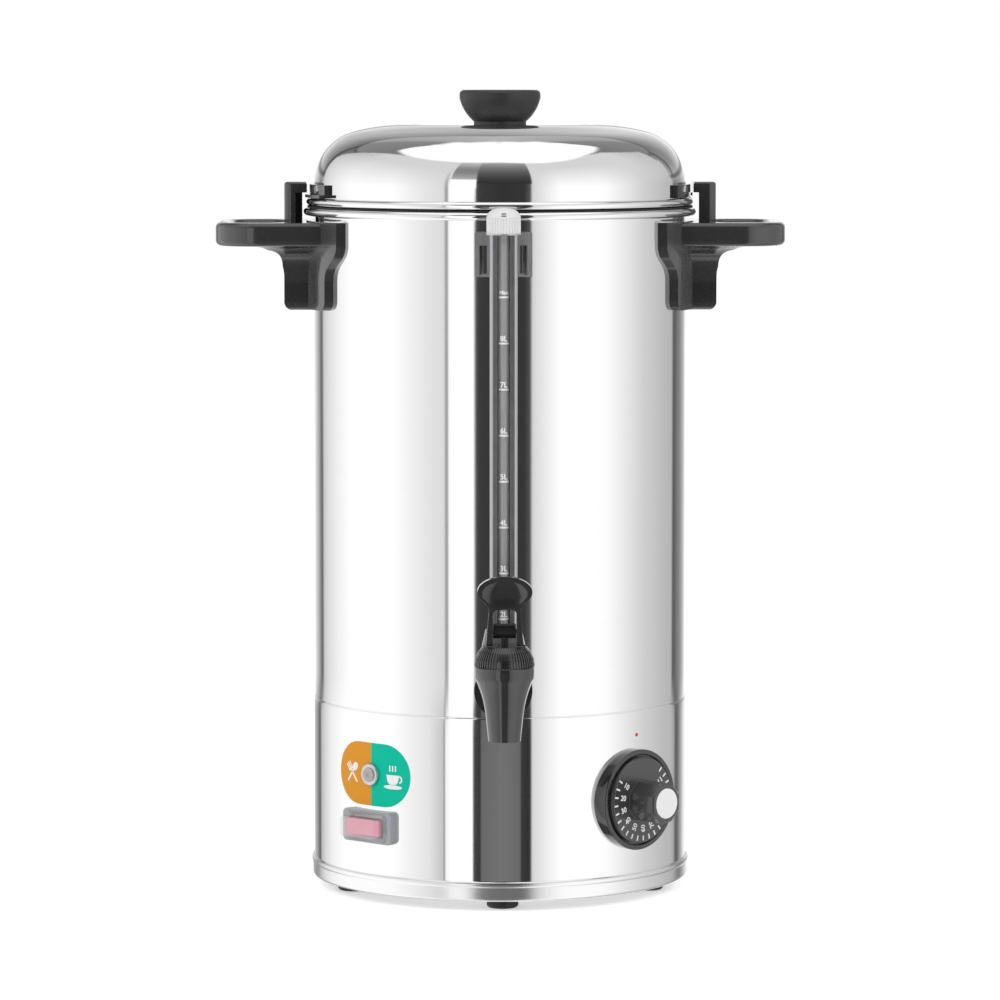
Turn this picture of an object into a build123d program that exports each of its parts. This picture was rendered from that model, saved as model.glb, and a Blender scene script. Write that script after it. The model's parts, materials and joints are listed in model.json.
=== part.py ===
from build123d import *
from math import asin, cos, degrees, radians, sin, sqrt
import os

os.makedirs("parts", exist_ok=True)

# A hot water urn: a steel vessel on a housing with the electrics, a lid that locks under two
# side handles, a sight gauge and a lever tap. Millimetres, +Z up. The origin is on the table
# under the vessel's axis, and the tap faces -Y. An azimuth counts degrees from the front (-Y)
# towards +X.

# ---------------------------------------------------------------- driving sizes

# Fits
slip = 0.05  # round parts that turn or slide in each other
gap = 0.3  # parts that pass each other
screw_gap = 0.2  # a screw's hole beyond its shank

# Vessel
tank_radius = 110.5  # outside of the wall
tank_wall = 0.8
floor_thickness = 1.2
floor_corner = 1.5
rim_height = 402.2  # centre of the rolled rim
rim_bead = 2.4  # radius of the rolled rim
rim_overhang = 3.7  # centre of the rim beyond the wall
seam_height = 113.0
floor_rise = 4.5  # water side of the floor above the seam
spigot_length = 9.0  # vessel wall that plugs into the housing

# Housing and base
housing_step = 0.5  # housing beyond the vessel's wall
housing_wall = 0.7
foot_height = 6.0  # underside of the base ring
ring_sheet = 0.8
ring_band = 1.0  # base ring wall beyond the housing
ring_round = 2.0
ring_lip = 8.0  # width of the turned-in flange
ring_bead_start = 8.2  # above the underside of the ring
ring_tall = 11.6
ring_bead_out = 0.7
plate_thickness = 1.0
vent_count = 12
vent_ring_radius = 58.0
vent_length = 24.0
vent_width = 3.0

# Feet
foot_count = 5
foot_inset = 19.0  # centre of a foot inside the housing's wall
foot_radius = 9.25
foot_edge = 1.2
foot_recess_radius = 4.5
foot_recess_depth = 3.2
foot_screw_radius = 2.0
foot_screw_head = 3.7
foot_screw_head_height = 2.2
foot_nut_flats = 7.0
foot_nut_height = 3.2
foot_screw_tail = 1.0

# Tie rod
tie_radius = 3.0
tie_nut_flats = 10.0
tie_nut_height = 4.6
tie_tail = 0.6

# Heater
heater_radius = 72.0
heater_thickness = 5.0
element_inset = 22.0  # centre of the sheath inside the plate's edge
element_radius = 4.0
element_sweep = 310.0
element_leg = 18.0
cutout_radius = 8.5
cutout_height = 7.0
cutout_place = (24.0, 16.0)
cutout_ear = 13.0
bulb_radius = 3.0
bulb_length = 50.0
bulb_offset = -24.0
capillary_radius = 0.9
capillary_bend = 6.0

# Lid
lid_step = 0.1  # lid's wall inside the vessel's
lid_wall = 0.8
lid_bead = 2.4
lid_bead_rise = 5.8  # centre of the lid's bead above the rim's
lid_bead_overhang = 2.3
lid_side = 10.5  # straight wall above the centre of the bead
shoulder_radius = 32.0
crown_slope = 15.0
crown_radius = 122.0
vent_hole = 3.0
vent_hole_place = 50.0

# Lid seal
seal_outset = 3.9  # lip of the seal beyond the lid's wall
seal_leg = 1.1  # leg of the seal beyond the lid's wall
seal_lip = 0.75
seal_rim_gap = 0.15
seal_inset = 0.5

# Lid knob
knob_stem_radius = 15.5
knob_radius = 24.0
knob_stem_height = 1.6
knob_height = 20.2
knob_bulge_height = 15.6
knob_edge = 2.6
knob_dish = 1.2
knob_bowl = (1.2, -0.7)  # how far the middle of the side stands off its chord
knob_screw_radius = 2.5
knob_screw_head = 6.0
knob_screw_head_height = 2.4
knob_screw_depth = 12.0

# Lid locks
lug_half_angle = 24.0
lug_rise = 2.8  # underside above the centre of the lid's bead
lug_tall = 7.6
lug_thickness = 2.7
tongue_start = 8.5
tongue_length = 6.2
tongue_thickness = 1.8
lock_rivet_radius = 1.6
lock_rivet_head = 2.8
lock_rivet_head_height = 0.9
lock_rivet_angle = 17.0
lock_rivet_rise = 7.6  # above the centre of the lid's bead

# Handles
grip_out = 57.5  # beyond the vessel's wall
grip_drop = 5.9  # top of the grip below the centre of the rim
grip_thickness = 13.8
grip_half_width = 46.0
grip_corner = 26.0
grip_round = 3.2
finger_out = 18.0  # hole beyond the vessel's wall
grip_bar = 10.2  # bar beyond the hole
finger_half_width = 32.0
finger_corner = 11.0
block_out = 17.2  # beyond the vessel's wall
block_drop = 58.2  # its foot below the centre of the rim
block_half_width = 19.0
block_corner = 5.0
gusset_radius = 18.0
gusset_side_radius = 23.0
flange_thickness = 4.6
flange_drop = 5.2  # its top below the centre of the rim
flange_half_wide = 63.0
flange_half_narrow = 50.5
flange_wide_tall = 13.0
flange_flank_tall = 22.0
flange_tall = 52.0
flange_corner = 6.0
hook_half_width = 12.0
hook_gap = 0.8  # above the tongue of the lid's lock
hook_thickness = 6.2
hook_round = 1.6
post_gap = 0.9  # beyond the tongue
post_wall = 6.6
post_round = 4.4
stop_depth = 3.7  # web that closes one end of the hook, inside the post's wall
stop_thickness = 3.0
handle_screw_drops = (30.2, 14.2)  # below the centre of the rim
handle_screw_radius = 2.0
handle_screw_depth = 12.0
handle_screw_head = 4.0
handle_screw_head_height = 2.2
handle_washer_radius = 6.0
handle_washer_thickness = 1.4

# Tap
tap_out = 46.5  # valve axis beyond the vessel's wall
shank_rise = 12.5  # above the vessel's floor
shank_radius = 10.0
shank_thread = 8.9
shank_bore = 5.0
tap_shoulder = 16.8
shoulder_thickness = 4.0
outer_washer = 2.5
inner_washer = 1.7
washer_bore = 9.0
inner_washer_radius = 11.0
tap_nut_flats = 22.0
tap_nut_height = 6.0
shank_tail = 2.0
spout_drop = 23.8  # tip below the shank's axis
spout_tip_radius = 9.2
spout_neck_drop = 10.3
spout_neck_radius = 10.6
spout_flare = 0.55  # slope of the bell where it meets the collar
collar_low_rise = 12.5  # above the shank's axis
collar_tall = 4.2
collar_radius = 17.2
outlet_bore = 6.5
outlet_depth = 15.0
seat_bore = 5.0
seat_drop = 5.5  # seat below the shank's axis
chamber_radius = 9.0
bonnet_height = 14.0
bonnet_top_radius = 12.0
bonnet_side = 2.4
bonnet_slope = 0.75  # of the brow where it meets the top
bonnet_roof = 3.9
bonnet_rib_count = 40
bonnet_lug = (5.2, 6.6, 1.2)  # width, height and depth of the front lug
bonnet_groove = 0.8  # half the diagonal of a groove between the ribs
stem_radius = 2.6
stem_socket = 2.0
stem_collar_radius = 6.2
stem_collar_height = 1.4
cup_radius = 7.5
cup_height = 6.0
pin_radius = 1.5
pin_grip = 2.6  # length of the pin in each leg of the lever
pin_above_bonnet = 8.3
stem_head_radius = 4.2
stem_head_half_width = 6.4
spring_radius = 4.9
spring_wire = 0.55
spring_turns = 5
spring_sides = 6

# Lever
lever_top = 32.4  # above its pin
lever_widest = 23.6
lever_half_width = 15.5
neck_half_width = 8.9
neck_height = 12.6  # narrowest place, above the pin
fork_half_width = 11.0
fork_half_gap = 6.7
fork_height = 13.4
fork_corner = 3.0
cam_radius = 4.0
cam_offset = 8.0
cam_angle = 60.0
boss_radius = 4.4
lever_lean = 14.0
paddle_thickness = 5.4
dish_depth = 1.6
dish_half_width = 13.2
dish_half_height = 7.8
dish_up = 22.4

# Sight gauge
gauge_out = 16.5  # tube's axis beyond the vessel's wall
tube_radius = 4.0
tube_bore = 2.75
socket_rise = 37.0  # above the shank's axis
socket_top_radius = 10.3
socket_low_radius = 12.4
socket_taper = 9.5  # height of the conical part
tube_in_socket = 13.0
socket_passage = 2.5
seal_radius = 5.5
seal_height = 4.0
guard_width = 15.8
guard_depth = 11.0
guard_wall = 0.8
guard_corner = 2.0
guard_slot = 7.6
bracket_half_width = 16.5
bracket_drop = 9.2  # top below the centre of the rim
bracket_tall = 25.0
bracket_sheet = 0.8
window_width = 4.3
window_height = 17.0
window_place = 11.6
window_rise = 1.0  # above the foot of the strap
plate_nose = 10.0
cap_radius = 9.75
cap_side = 9.0
cap_height = 15.0
cap_socket = 7.0
cap_rib_count = 36
cap_groove = 0.55  # half the diagonal of a groove between the ribs
cap_vent = 0.8
gauge_screw_radius = 1.75
gauge_screw_head = 3.4
gauge_screw_head_height = 2.0
gauge_screw_down = 12.0  # below the top of the bracket
standoff_radius = 4.0

# Thermostat and dial
dial_azimuth = 44.0
dial_height = 61.4
bezel_radius = 29.5
bezel_front = 2.6  # floor of the bezel in front of the housing
bezel_rim = 3.2
bezel_rim_height = 2.4
skirt_radius = 25.25
skirt_gap = 0.5
skirt_thickness = 3.9
grip_across = 24.5
grip_length = 19.0
grip_chamfer = 1.0
dial_cap_radius = 8.8
dial_cap_depth = 1.2
dial_cap_proud = 0.3
shaft_radius = 3.0
shaft_flat = 2.2
shaft_in_knob = 15.0
shaft_in_body = 6.0
shaft_hole = 5.0
thermostat_width = 38.0
thermostat_tall = 34.0
thermostat_depth = 22.0
thermostat_front = 4.0  # behind the housing's inside
thermostat_boss = 4.0
thermostat_screw_place = 13.0
thermostat_screw_radius = 1.5
thermostat_screw_head = 2.8
thermostat_screw_head_height = 1.6
thermostat_screw_depth = 5.0

# Switch
switch_azimuth = -44.0
switch_height = 45.8
frame_width = 39.0
frame_tall = 19.0
frame_corner = 3.0
frame_front = 3.4
well_width = 27.4
well_tall = 11.0
well_depth = 8.0
switch_body_depth = 20.0
switch_tab = (0.9, 5.5, 8.0)  # thickness, width and length of a terminal
switch_tab_pitch = 9.0
switch_wall = 1.4
rocker_half_length = 11.5
rocker_half_tall = 4.7
rocker_foot = 10.6
rocker_drop = 3.0
rocker_peak = 9.0
rocker_valley = 6.6
rocker_tilt = 9.0
trunnion_radius = 1.2
trunnion_length = 0.9
pivot_depth = 1.0  # pivot inside the housing's outside
boot_width = 28.5
boot_tall = 12.0
boot_corner = 2.0
boot_wall = 0.8
boot_rise = 8.1
boot_flange = 2.4
boot_flange_thickness = 0.6

# Lamp
lamp_azimuth = -43.5
lamp_height = 76.4
lamp_flange = 6.5
lamp_front = 2.2
lamp_tube = 4.95
lamp_tube_depth = 4.0
lens_radius = 4.2
lens_dome = 1.2
lamp_body_radius = 5.6
lamp_body_length = 20.0
lamp_tab = (1.0, 4.0, 6.0)

# Appliance inlet at the back
inlet_height = 45.0
inlet_width = 50.0
inlet_tall = 27.0
inlet_corner = 4.0
inlet_front = 2.6
inlet_well_width = 24.5
inlet_well_tall = 16.8
inlet_well_depth = 17.0
inlet_shell = 2.2
inlet_well_chamfer = 4.5
inlet_screw_place = 20.0
inlet_screw_radius = 1.7
inlet_screw_head = 3.0
inlet_screw_head_height = 1.6
inlet_screw_depth = 9.0
pin_width = 2.0
pin_tall = 4.0
pin_recess = 4.5
pin_spread = 7.0
pin_rise = 2.0

# Terminal block
block_size = (34.0, 16.0, 13.0)
block_place = (-38.0, 44.0)
block_ways = 3
block_pitch = 10.0
block_hole = 2.2

# ---------------------------------------------------------------- worked-out sizes

# Vessel, housing and base
tank_inner = tank_radius - tank_wall
rim_flange_top = rim_height + tank_wall / 2
floor_height = seam_height + floor_rise
housing_radius = tank_radius + housing_step
housing_inner = housing_radius - housing_wall
ring_bead_low = foot_height + ring_bead_start
ring_top = foot_height + ring_tall
plate_low = foot_height + ring_sheet
plate_top = plate_low + plate_thickness
foot_ring_radius = housing_radius - foot_inset
heater_low = floor_height - floor_thickness - heater_thickness
element_ring_radius = heater_radius - element_inset

# Lid and its locks
lid_radius = tank_radius - lid_step
lid_bead_height = rim_height + lid_bead_rise
lid_side_top = lid_bead_height + lid_side
lug_low = lid_bead_height + lug_rise
lug_high = lug_low + lug_tall
tongue_reach = lid_radius + tongue_length
lock_rivet_height = lid_bead_height + lock_rivet_rise

# Handles
grip_reach = tank_radius + grip_out
grip_top = rim_height - grip_drop
grip_low = grip_top - grip_thickness
finger_near = tank_radius + finger_out
finger_far = grip_reach - grip_bar
finger_round = min(finger_corner, (finger_far - finger_near) / 2 - gap)
block_reach = tank_radius + block_out
block_low = rim_height - block_drop
flange_top = rim_height - flange_drop
flange_wide_low = flange_top - flange_wide_tall
flange_narrow_high = flange_wide_low - flange_flank_tall
flange_low = flange_top - flange_tall
hook_tip = lid_radius + lug_thickness + lock_rivet_head_height + gap
hook_top = lug_low + tongue_thickness + hook_gap + hook_thickness
stop_face = tongue_reach + post_gap
post_inner = stop_face + stop_depth
post_outer = post_inner + post_wall
handle_screw_heights = [rim_height - drop for drop in handle_screw_drops]

# Tap
tap_reach = tank_radius + tap_out
shank_height = floor_height + shank_rise
shoulder_face = tank_radius + outer_washer
spout_tip = shank_height - spout_drop
spout_neck = shank_height - spout_neck_drop
collar_low = shank_height + collar_low_rise
collar_top = collar_low + collar_tall
bonnet_top = collar_top + bonnet_height
pin_height = bonnet_top + pin_above_bonnet
seat_height = shank_height - seat_drop
seat_collar = seat_height + cup_height

# Sight gauge
gauge_reach = tank_radius + gauge_out
socket_top = shank_height + socket_rise
socket_low = socket_top - socket_taper
tube_seat = socket_top - tube_in_socket
bracket_top = rim_height - bracket_drop
bracket_low = bracket_top - bracket_tall
window_low = bracket_low + window_rise
gauge_screw_height = bracket_top - gauge_screw_down

cutter = 2 * hook_top  # taller than the whole urn


def on_wall(azimuth, height, radius):
    """A plane that faces outwards from the vessel's axis, with x to the right and y up."""
    angle = radians(azimuth)
    outward = Vector(sin(angle), -cos(angle), 0)
    return Plane(
        origin=outward * radius + Vector(0, 0, height),
        x_dir=(cos(angle), sin(angle), 0),
        z_dir=outward,
    )


def through_axis(azimuth):
    """The upright plane through the vessel's axis, with x outwards and y up."""
    angle = radians(azimuth)
    outward = Vector(sin(angle), -cos(angle), 0)
    return Plane(origin=(0, 0, 0), x_dir=outward, z_dir=outward.cross(Vector(0, 0, 1)))


def falls_back(radius, half_width):
    """How far a round wall falls back from its tangent plane at half_width to one side."""
    return radius - sqrt(radius**2 - half_width**2)


def thermostat_screws_at():
    """The two places of the thermostat's screws, above and below its shaft."""
    return GridLocations(0, 2 * thermostat_screw_place, 1, 2)


def inlet_screws_at():
    """The two places of the inlet's screws, left and right of its well."""
    return GridLocations(2 * inlet_screw_place, 0, 2, 1)


def save(piece, name):
    """Label a finished piece and write its STEP file."""
    piece.part.label = name
    export_step(piece.part, f"parts/{name}.step")


dial_wall = on_wall(dial_azimuth, dial_height, housing_radius)
switch_plane = on_wall(switch_azimuth, switch_height, housing_radius)
lamp_plane = on_wall(lamp_azimuth, lamp_height, housing_radius)
inlet_plane = on_wall(180, inlet_height, housing_radius)
dial_line = Axis(dial_wall.origin, dial_wall.z_dir)
switch_line = Axis(switch_plane.origin, switch_plane.z_dir)
lamp_line = Axis(lamp_plane.origin, lamp_plane.z_dir)
inlet_line = Axis(inlet_plane.origin, inlet_plane.z_dir)
switch_pivot = switch_plane.offset(-pivot_depth)
trunnion_plane = Plane(
    origin=switch_pivot.origin, x_dir=switch_pivot.x_dir, z_dir=(0, 0, -1)
)
rocker_plane = trunnion_plane.rotated((0, 0, rocker_tilt))
handle_screw_planes = [
    on_wall(side, height, tank_radius) for side in (-90, 90) for height in handle_screw_heights
]
rivet_planes = [
    on_wall(side + step, lock_rivet_height, lid_radius)
    for side in (-90, 90)
    for step in (-lock_rivet_angle, lock_rivet_angle)
]
valve_axis = Axis((0, -tap_reach, 0), (0, 0, 1))
valve_section = Plane.XZ.offset(tap_reach)
gauge_axis = Axis((0, -gauge_reach, 0), (0, 0, 1))
gauge_section = Plane.XZ.offset(gauge_reach)

# ---------------------------------------------------------------- vessel

with BuildPart() as tank:
    with BuildSketch(Plane.XZ):
        with Locations((tank_inner, seam_height)):
            Rectangle(tank_wall, rim_flange_top - seam_height, align=(Align.MIN, Align.MIN))
        with Locations((housing_inner - tank_wall, seam_height - spigot_length)):
            Rectangle(tank_wall, spigot_length + tank_wall, align=(Align.MIN, Align.MIN))
        with Locations((tank_inner, seam_height)):
            Rectangle(max(housing_inner - tank_inner, tank_wall), tank_wall, align=(Align.MIN, Align.MIN))
        with Locations((0, floor_height)):
            Rectangle(tank_inner + tank_wall / 2, floor_thickness, align=(Align.MIN, Align.MAX))
        with Locations((tank_inner, rim_flange_top)):
            Rectangle(rim_overhang + tank_wall, tank_wall, align=(Align.MIN, Align.MAX))
        with Locations((tank_radius + rim_overhang, rim_height)):
            Circle(rim_bead)
    revolve(axis=Axis.Z)
    floor_edge = tank.edges().filter_by(GeomType.CIRCLE)
    floor_edge = floor_edge.filter_by_position(Axis.Z, floor_height - slip, floor_height + slip)
    fillet(floor_edge.sort_by(SortBy.RADIUS)[-1], floor_corner)
    with Locations(*handle_screw_planes):
        Hole(handle_screw_radius + screw_gap, depth=3 * tank_wall)
    with Locations(on_wall(0, gauge_screw_height, tank_radius)):
        Hole(gauge_screw_radius + screw_gap, depth=3 * tank_wall)
    with Locations(on_wall(0, shank_height, tank_radius)):
        Hole(shank_thread + gap, depth=3 * tank_wall)
save(tank, "tank")

# ---------------------------------------------------------------- housing and base

with BuildPart() as lower_housing:
    with BuildSketch(Plane.XZ):
        with Locations((housing_inner, plate_top)):
            Rectangle(housing_wall, seam_height - plate_top, align=(Align.MIN, Align.MIN))
    revolve(axis=Axis.Z)
    with Locations(dial_wall):
        Hole(shaft_hole, depth=3 * housing_wall)
    with Locations(dial_wall):
        with thermostat_screws_at():
            Hole(thermostat_screw_radius + screw_gap, depth=3 * housing_wall)
    with Locations(lamp_plane):
        Hole(lamp_tube + slip, depth=3 * housing_wall)
    with BuildSketch(switch_plane):
        Rectangle(well_width + 2 * switch_wall + gap, well_tall + 2 * switch_wall + gap)
    extrude(amount=-switch_wall - falls_back(housing_radius, frame_width / 2), mode=Mode.SUBTRACT)
    with BuildSketch(inlet_plane):
        Rectangle(
            inlet_well_width + 2 * inlet_shell + gap, inlet_well_tall + 2 * inlet_shell + gap
        )
    extrude(amount=-inlet_shell - falls_back(housing_radius, inlet_width / 2), mode=Mode.SUBTRACT)
    with Locations(inlet_plane):
        with inlet_screws_at():
            Hole(inlet_screw_radius + screw_gap, depth=5 * housing_wall)
save(lower_housing, "lower_housing")

band_radius = housing_radius + ring_band
with BuildPart() as base_ring:
    with BuildSketch(Plane.XZ):
        with BuildLine():
            under = Line((housing_radius - ring_lip, foot_height), (band_radius - ring_round, foot_height))
            turn = JernArc(under @ 1, (1, 0), ring_round, 90)
            band = Line(turn @ 1, (band_radius, ring_bead_low))
            bead = ThreePointArc(
                band @ 1,
                (band_radius + ring_bead_out, (ring_bead_low + ring_top) / 2),
                (band_radius, ring_top),
            )
            Polyline(
                bead @ 1,
                (housing_radius, ring_top),
                (housing_radius, plate_low),
                (housing_radius - ring_lip, plate_low),
                under @ 0,
            )
        make_face()
    revolve(axis=Axis.Z)
save(base_ring, "base_ring")

with BuildPart() as bottom_plate:
    with BuildSketch(Plane.XY.offset(plate_low)):
        Circle(housing_radius - gap / 2)
        Circle(tie_radius + screw_gap, mode=Mode.SUBTRACT)
        with PolarLocations(foot_ring_radius, foot_count, start_angle=-90):
            Circle(foot_screw_radius + screw_gap, mode=Mode.SUBTRACT)
        with PolarLocations(vent_ring_radius, vent_count):
            SlotOverall(vent_length, vent_width, mode=Mode.SUBTRACT)
    extrude(amount=plate_thickness)
save(bottom_plate, "bottom_plate")

with BuildPart() as feet:
    with BuildSketch():
        with PolarLocations(foot_ring_radius, foot_count, start_angle=-90):
            Circle(foot_radius)
    extrude(amount=plate_low)
    chamfer(feet.faces().group_by(Axis.Z)[0].edges(), foot_edge)
    with BuildSketch():
        with PolarLocations(foot_ring_radius, foot_count, start_angle=-90):
            Circle(foot_recess_radius)
    extrude(amount=foot_recess_depth, mode=Mode.SUBTRACT)
    with BuildSketch():
        with PolarLocations(foot_ring_radius, foot_count, start_angle=-90):
            Circle(foot_screw_radius + screw_gap)
    extrude(amount=plate_low, mode=Mode.SUBTRACT)
save(feet, "feet")

foot_nut_top = plate_top + foot_nut_height
with BuildPart() as foot_screws:
    with BuildSketch(Plane.XY.offset(foot_recess_depth)):
        with PolarLocations(foot_ring_radius, foot_count, start_angle=-90):
            Circle(foot_screw_head)
    extrude(amount=-foot_screw_head_height)
    with BuildSketch(Plane.XY.offset(foot_recess_depth)):
        with PolarLocations(foot_ring_radius, foot_count, start_angle=-90):
            Circle(foot_screw_radius)
    extrude(amount=foot_nut_top + foot_screw_tail - foot_recess_depth)
save(foot_screws, "foot_screws")

with BuildPart() as foot_nuts:
    with BuildSketch(Plane.XY.offset(plate_top)):
        with PolarLocations(foot_ring_radius, foot_count, start_angle=-90):
            RegularPolygon(foot_nut_flats / 2, 6, major_radius=False)
            Circle(foot_screw_radius + slip, mode=Mode.SUBTRACT)
    extrude(amount=foot_nut_height)
save(foot_nuts, "foot_nuts")

tie_low = plate_low - tie_nut_height - tie_tail
with BuildPart() as tie_rod:
    with BuildSketch(Plane.XY.offset(tie_low)):
        Circle(tie_radius)
    extrude(amount=heater_low - tie_low)
save(tie_rod, "tie_rod")

with BuildPart() as tie_nut:
    with BuildSketch(Plane.XY.offset(plate_low)):
        RegularPolygon(tie_nut_flats / 2, 6, major_radius=False)
        Circle(tie_radius + slip, mode=Mode.SUBTRACT)
    extrude(amount=-tie_nut_height)
save(tie_nut, "tie_nut")

# ---------------------------------------------------------------- heater

element_start = 90 - element_sweep / 2
with BuildPart() as heating_element:
    with BuildSketch(through_axis(90 + element_start)):
        with Locations((element_ring_radius, heater_low)):
            Circle(element_radius)
    revolve(axis=Axis.Z, revolution_arc=element_sweep)
    with BuildSketch(Plane.XY.offset(heater_low)):
        with PolarLocations(element_ring_radius, 2, element_start, element_sweep, endpoint=True):
            Circle(element_radius)
    extrude(amount=-element_leg)
    with Locations(Plane.XY.offset(heater_low)):
        with PolarLocations(element_ring_radius, 2, element_start, element_sweep, endpoint=True):
            Sphere(element_radius)
save(heating_element, "heating_element")

with BuildPart() as heater_plate:
    with BuildSketch(Plane.XY.offset(heater_low)):
        Circle(heater_radius)
    extrude(amount=heater_thickness)
    with BuildSketch(Plane.XZ):
        with Locations((element_ring_radius, heater_low)):
            Circle(element_radius + slip)
    revolve(axis=Axis.Z, mode=Mode.SUBTRACT)
save(heater_plate, "heater_plate")

with BuildPart() as boil_dry_cutout:
    with BuildSketch(Plane.XY.offset(heater_low)):
        with Locations(cutout_place):
            Circle(cutout_radius)
    extrude(amount=-cutout_height)
    with BuildSketch(Plane.XY.offset(heater_low)):
        with Locations(cutout_place):
            SlotOverall(2 * cutout_ear, cutout_radius)
    extrude(amount=-tank_wall)
save(boil_dry_cutout, "boil_dry_cutout")

bulb_height = heater_low - bulb_radius - slip
with BuildPart() as sensor_bulb:
    with BuildSketch(Plane.YZ.offset(-bulb_length / 2)):
        with Locations((bulb_offset, bulb_height)):
            Circle(bulb_radius)
    extrude(amount=bulb_length)
    fillet(sensor_bulb.edges(), bulb_radius / 2)
save(sensor_bulb, "sensor_bulb")

# ---------------------------------------------------------------- lid

with BuildPart() as lid_shell:
    with BuildSketch(Plane.XZ):
        with BuildLine():
            side = Line((lid_radius, lid_bead_height), (lid_radius, lid_side_top))
            shoulder = CenterArc(
                (lid_radius - shoulder_radius, lid_side_top), shoulder_radius, 0, 90 - crown_slope
            )
            crown = JernArc(shoulder @ 1, shoulder % 1, crown_radius, crown_slope)
            Polyline(crown @ 1, (0, (crown @ 1).Y), (0, lid_bead_height), side @ 0)
        make_face()
    revolve(axis=Axis.Z)
    offset(amount=-lid_wall, openings=lid_shell.faces().sort_by(Axis.Z)[0])
    with BuildSketch(Plane.XZ):
        with Locations((lid_radius - lid_wall, lid_bead_height)):
            Rectangle(lid_wall + lid_bead_overhang, lid_wall, align=(Align.MIN, Align.CENTER))
        with Locations((lid_radius + lid_bead_overhang, lid_bead_height)):
            Circle(lid_bead)
    revolve(axis=Axis.Z)
    lid_top = (crown @ 1).Y
    with Locations(Plane.XY.offset(lid_top)):
        Hole(knob_screw_radius + screw_gap, depth=2 * lid_wall)
        with GridLocations(2 * vent_hole_place, 0, 2, 1):
            Hole(vent_hole, depth=2 * lid_wall)
    with Locations(*rivet_planes):
        Hole(lock_rivet_radius, depth=3 * lid_wall)
save(lid_shell, "lid_shell")

seal_lip_low = rim_height + rim_bead + seal_rim_gap
with BuildPart() as lid_seal:
    with BuildSketch(Plane.XZ):
        with Locations((lid_radius - seal_inset, rim_flange_top)):
            Rectangle(
                seal_inset + seal_leg, seal_lip_low - rim_flange_top, align=(Align.MIN, Align.MIN)
            )
        with Locations((lid_radius - seal_inset, seal_lip_low)):
            Rectangle(seal_inset + seal_outset, seal_lip, align=(Align.MIN, Align.MIN))
    revolve(axis=Axis.Z)
save(lid_seal, "lid_seal")

knob_top = lid_top + knob_height
dish_reach = knob_radius - knob_edge
dish_curve = (dish_reach**2 + knob_dish**2) / (2 * knob_dish)
dish_half = asin(dish_reach / dish_curve)
with BuildPart() as lid_knob:
    with BuildSketch(Plane.XZ):
        with BuildLine():
            foot = Line((knob_stem_radius, lid_top), (knob_stem_radius, lid_top + knob_stem_height))
            bowl = ThreePointArc(
                foot @ 1,
                (
                    (knob_stem_radius + knob_radius) / 2 + knob_bowl[0],
                    lid_top + (knob_stem_height + knob_bulge_height) / 2 + knob_bowl[1],
                ),
                (knob_radius, lid_top + knob_bulge_height),
            )
            upper = Line(bowl @ 1, (knob_radius, knob_top - knob_edge))
            edge = JernArc(upper @ 1, (0, 1), knob_edge, 90)
            dish = JernArc(edge @ 1, (-cos(dish_half), -sin(dish_half)), dish_curve, -degrees(dish_half))
            Polyline(dish @ 1, (0, lid_top), foot @ 0)
        make_face()
    revolve(axis=Axis.Z)
    with BuildSketch(Plane.XY.offset(lid_top)):
        Circle(knob_screw_radius)
    extrude(amount=knob_screw_depth, mode=Mode.SUBTRACT)
save(lid_knob, "lid_knob")

with BuildPart() as lid_knob_screw:
    with BuildSketch(Plane.XY.offset(lid_top - lid_wall)):
        Circle(knob_screw_head)
    extrude(amount=-knob_screw_head_height)
    with BuildSketch(Plane.XY.offset(lid_top - lid_wall)):
        Circle(knob_screw_radius)
    extrude(amount=lid_wall + knob_screw_depth)
save(lid_knob_screw, "lid_knob_screw")

for side, side_name in ((-90, "left"), (90, "right")):
    with BuildPart() as lid_lock:
        with BuildSketch(through_axis(side - lug_half_angle)):
            with Locations((lid_radius, lug_low)):
                Rectangle(lug_thickness, lug_high - lug_low, align=(Align.MIN, Align.MIN))
        revolve(axis=Axis.Z, revolution_arc=2 * lug_half_angle)
        with BuildSketch(through_axis(side + tongue_start)):
            with Locations((lid_radius, lug_low)):
                Rectangle(tongue_reach - lid_radius, tongue_thickness, align=(Align.MIN, Align.MIN))
        revolve(axis=Axis.Z, revolution_arc=lug_half_angle - tongue_start)
        with Locations(*rivet_planes):
            Cylinder(lock_rivet_radius, 3 * lug_thickness, mode=Mode.SUBTRACT)
    save(lid_lock, f"lid_lock_{side_name}")

rivet_inside = lid_wall + falls_back(lid_radius - lid_wall, lock_rivet_head)
with BuildPart() as lid_lock_rivets:
    for plane in rivet_planes:
        with BuildSketch(plane.offset(-rivet_inside)):
            Circle(lock_rivet_radius)
        extrude(amount=rivet_inside + lug_thickness)
        with BuildSketch(plane.offset(lug_thickness)):
            Circle(lock_rivet_head)
        extrude(amount=lock_rivet_head_height, taper=30)
        with BuildSketch(plane.offset(-rivet_inside)):
            Circle(lock_rivet_head)
        extrude(amount=-lock_rivet_head_height)
save(lid_lock_rivets, "lid_lock_rivets")

# ---------------------------------------------------------------- handles

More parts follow.
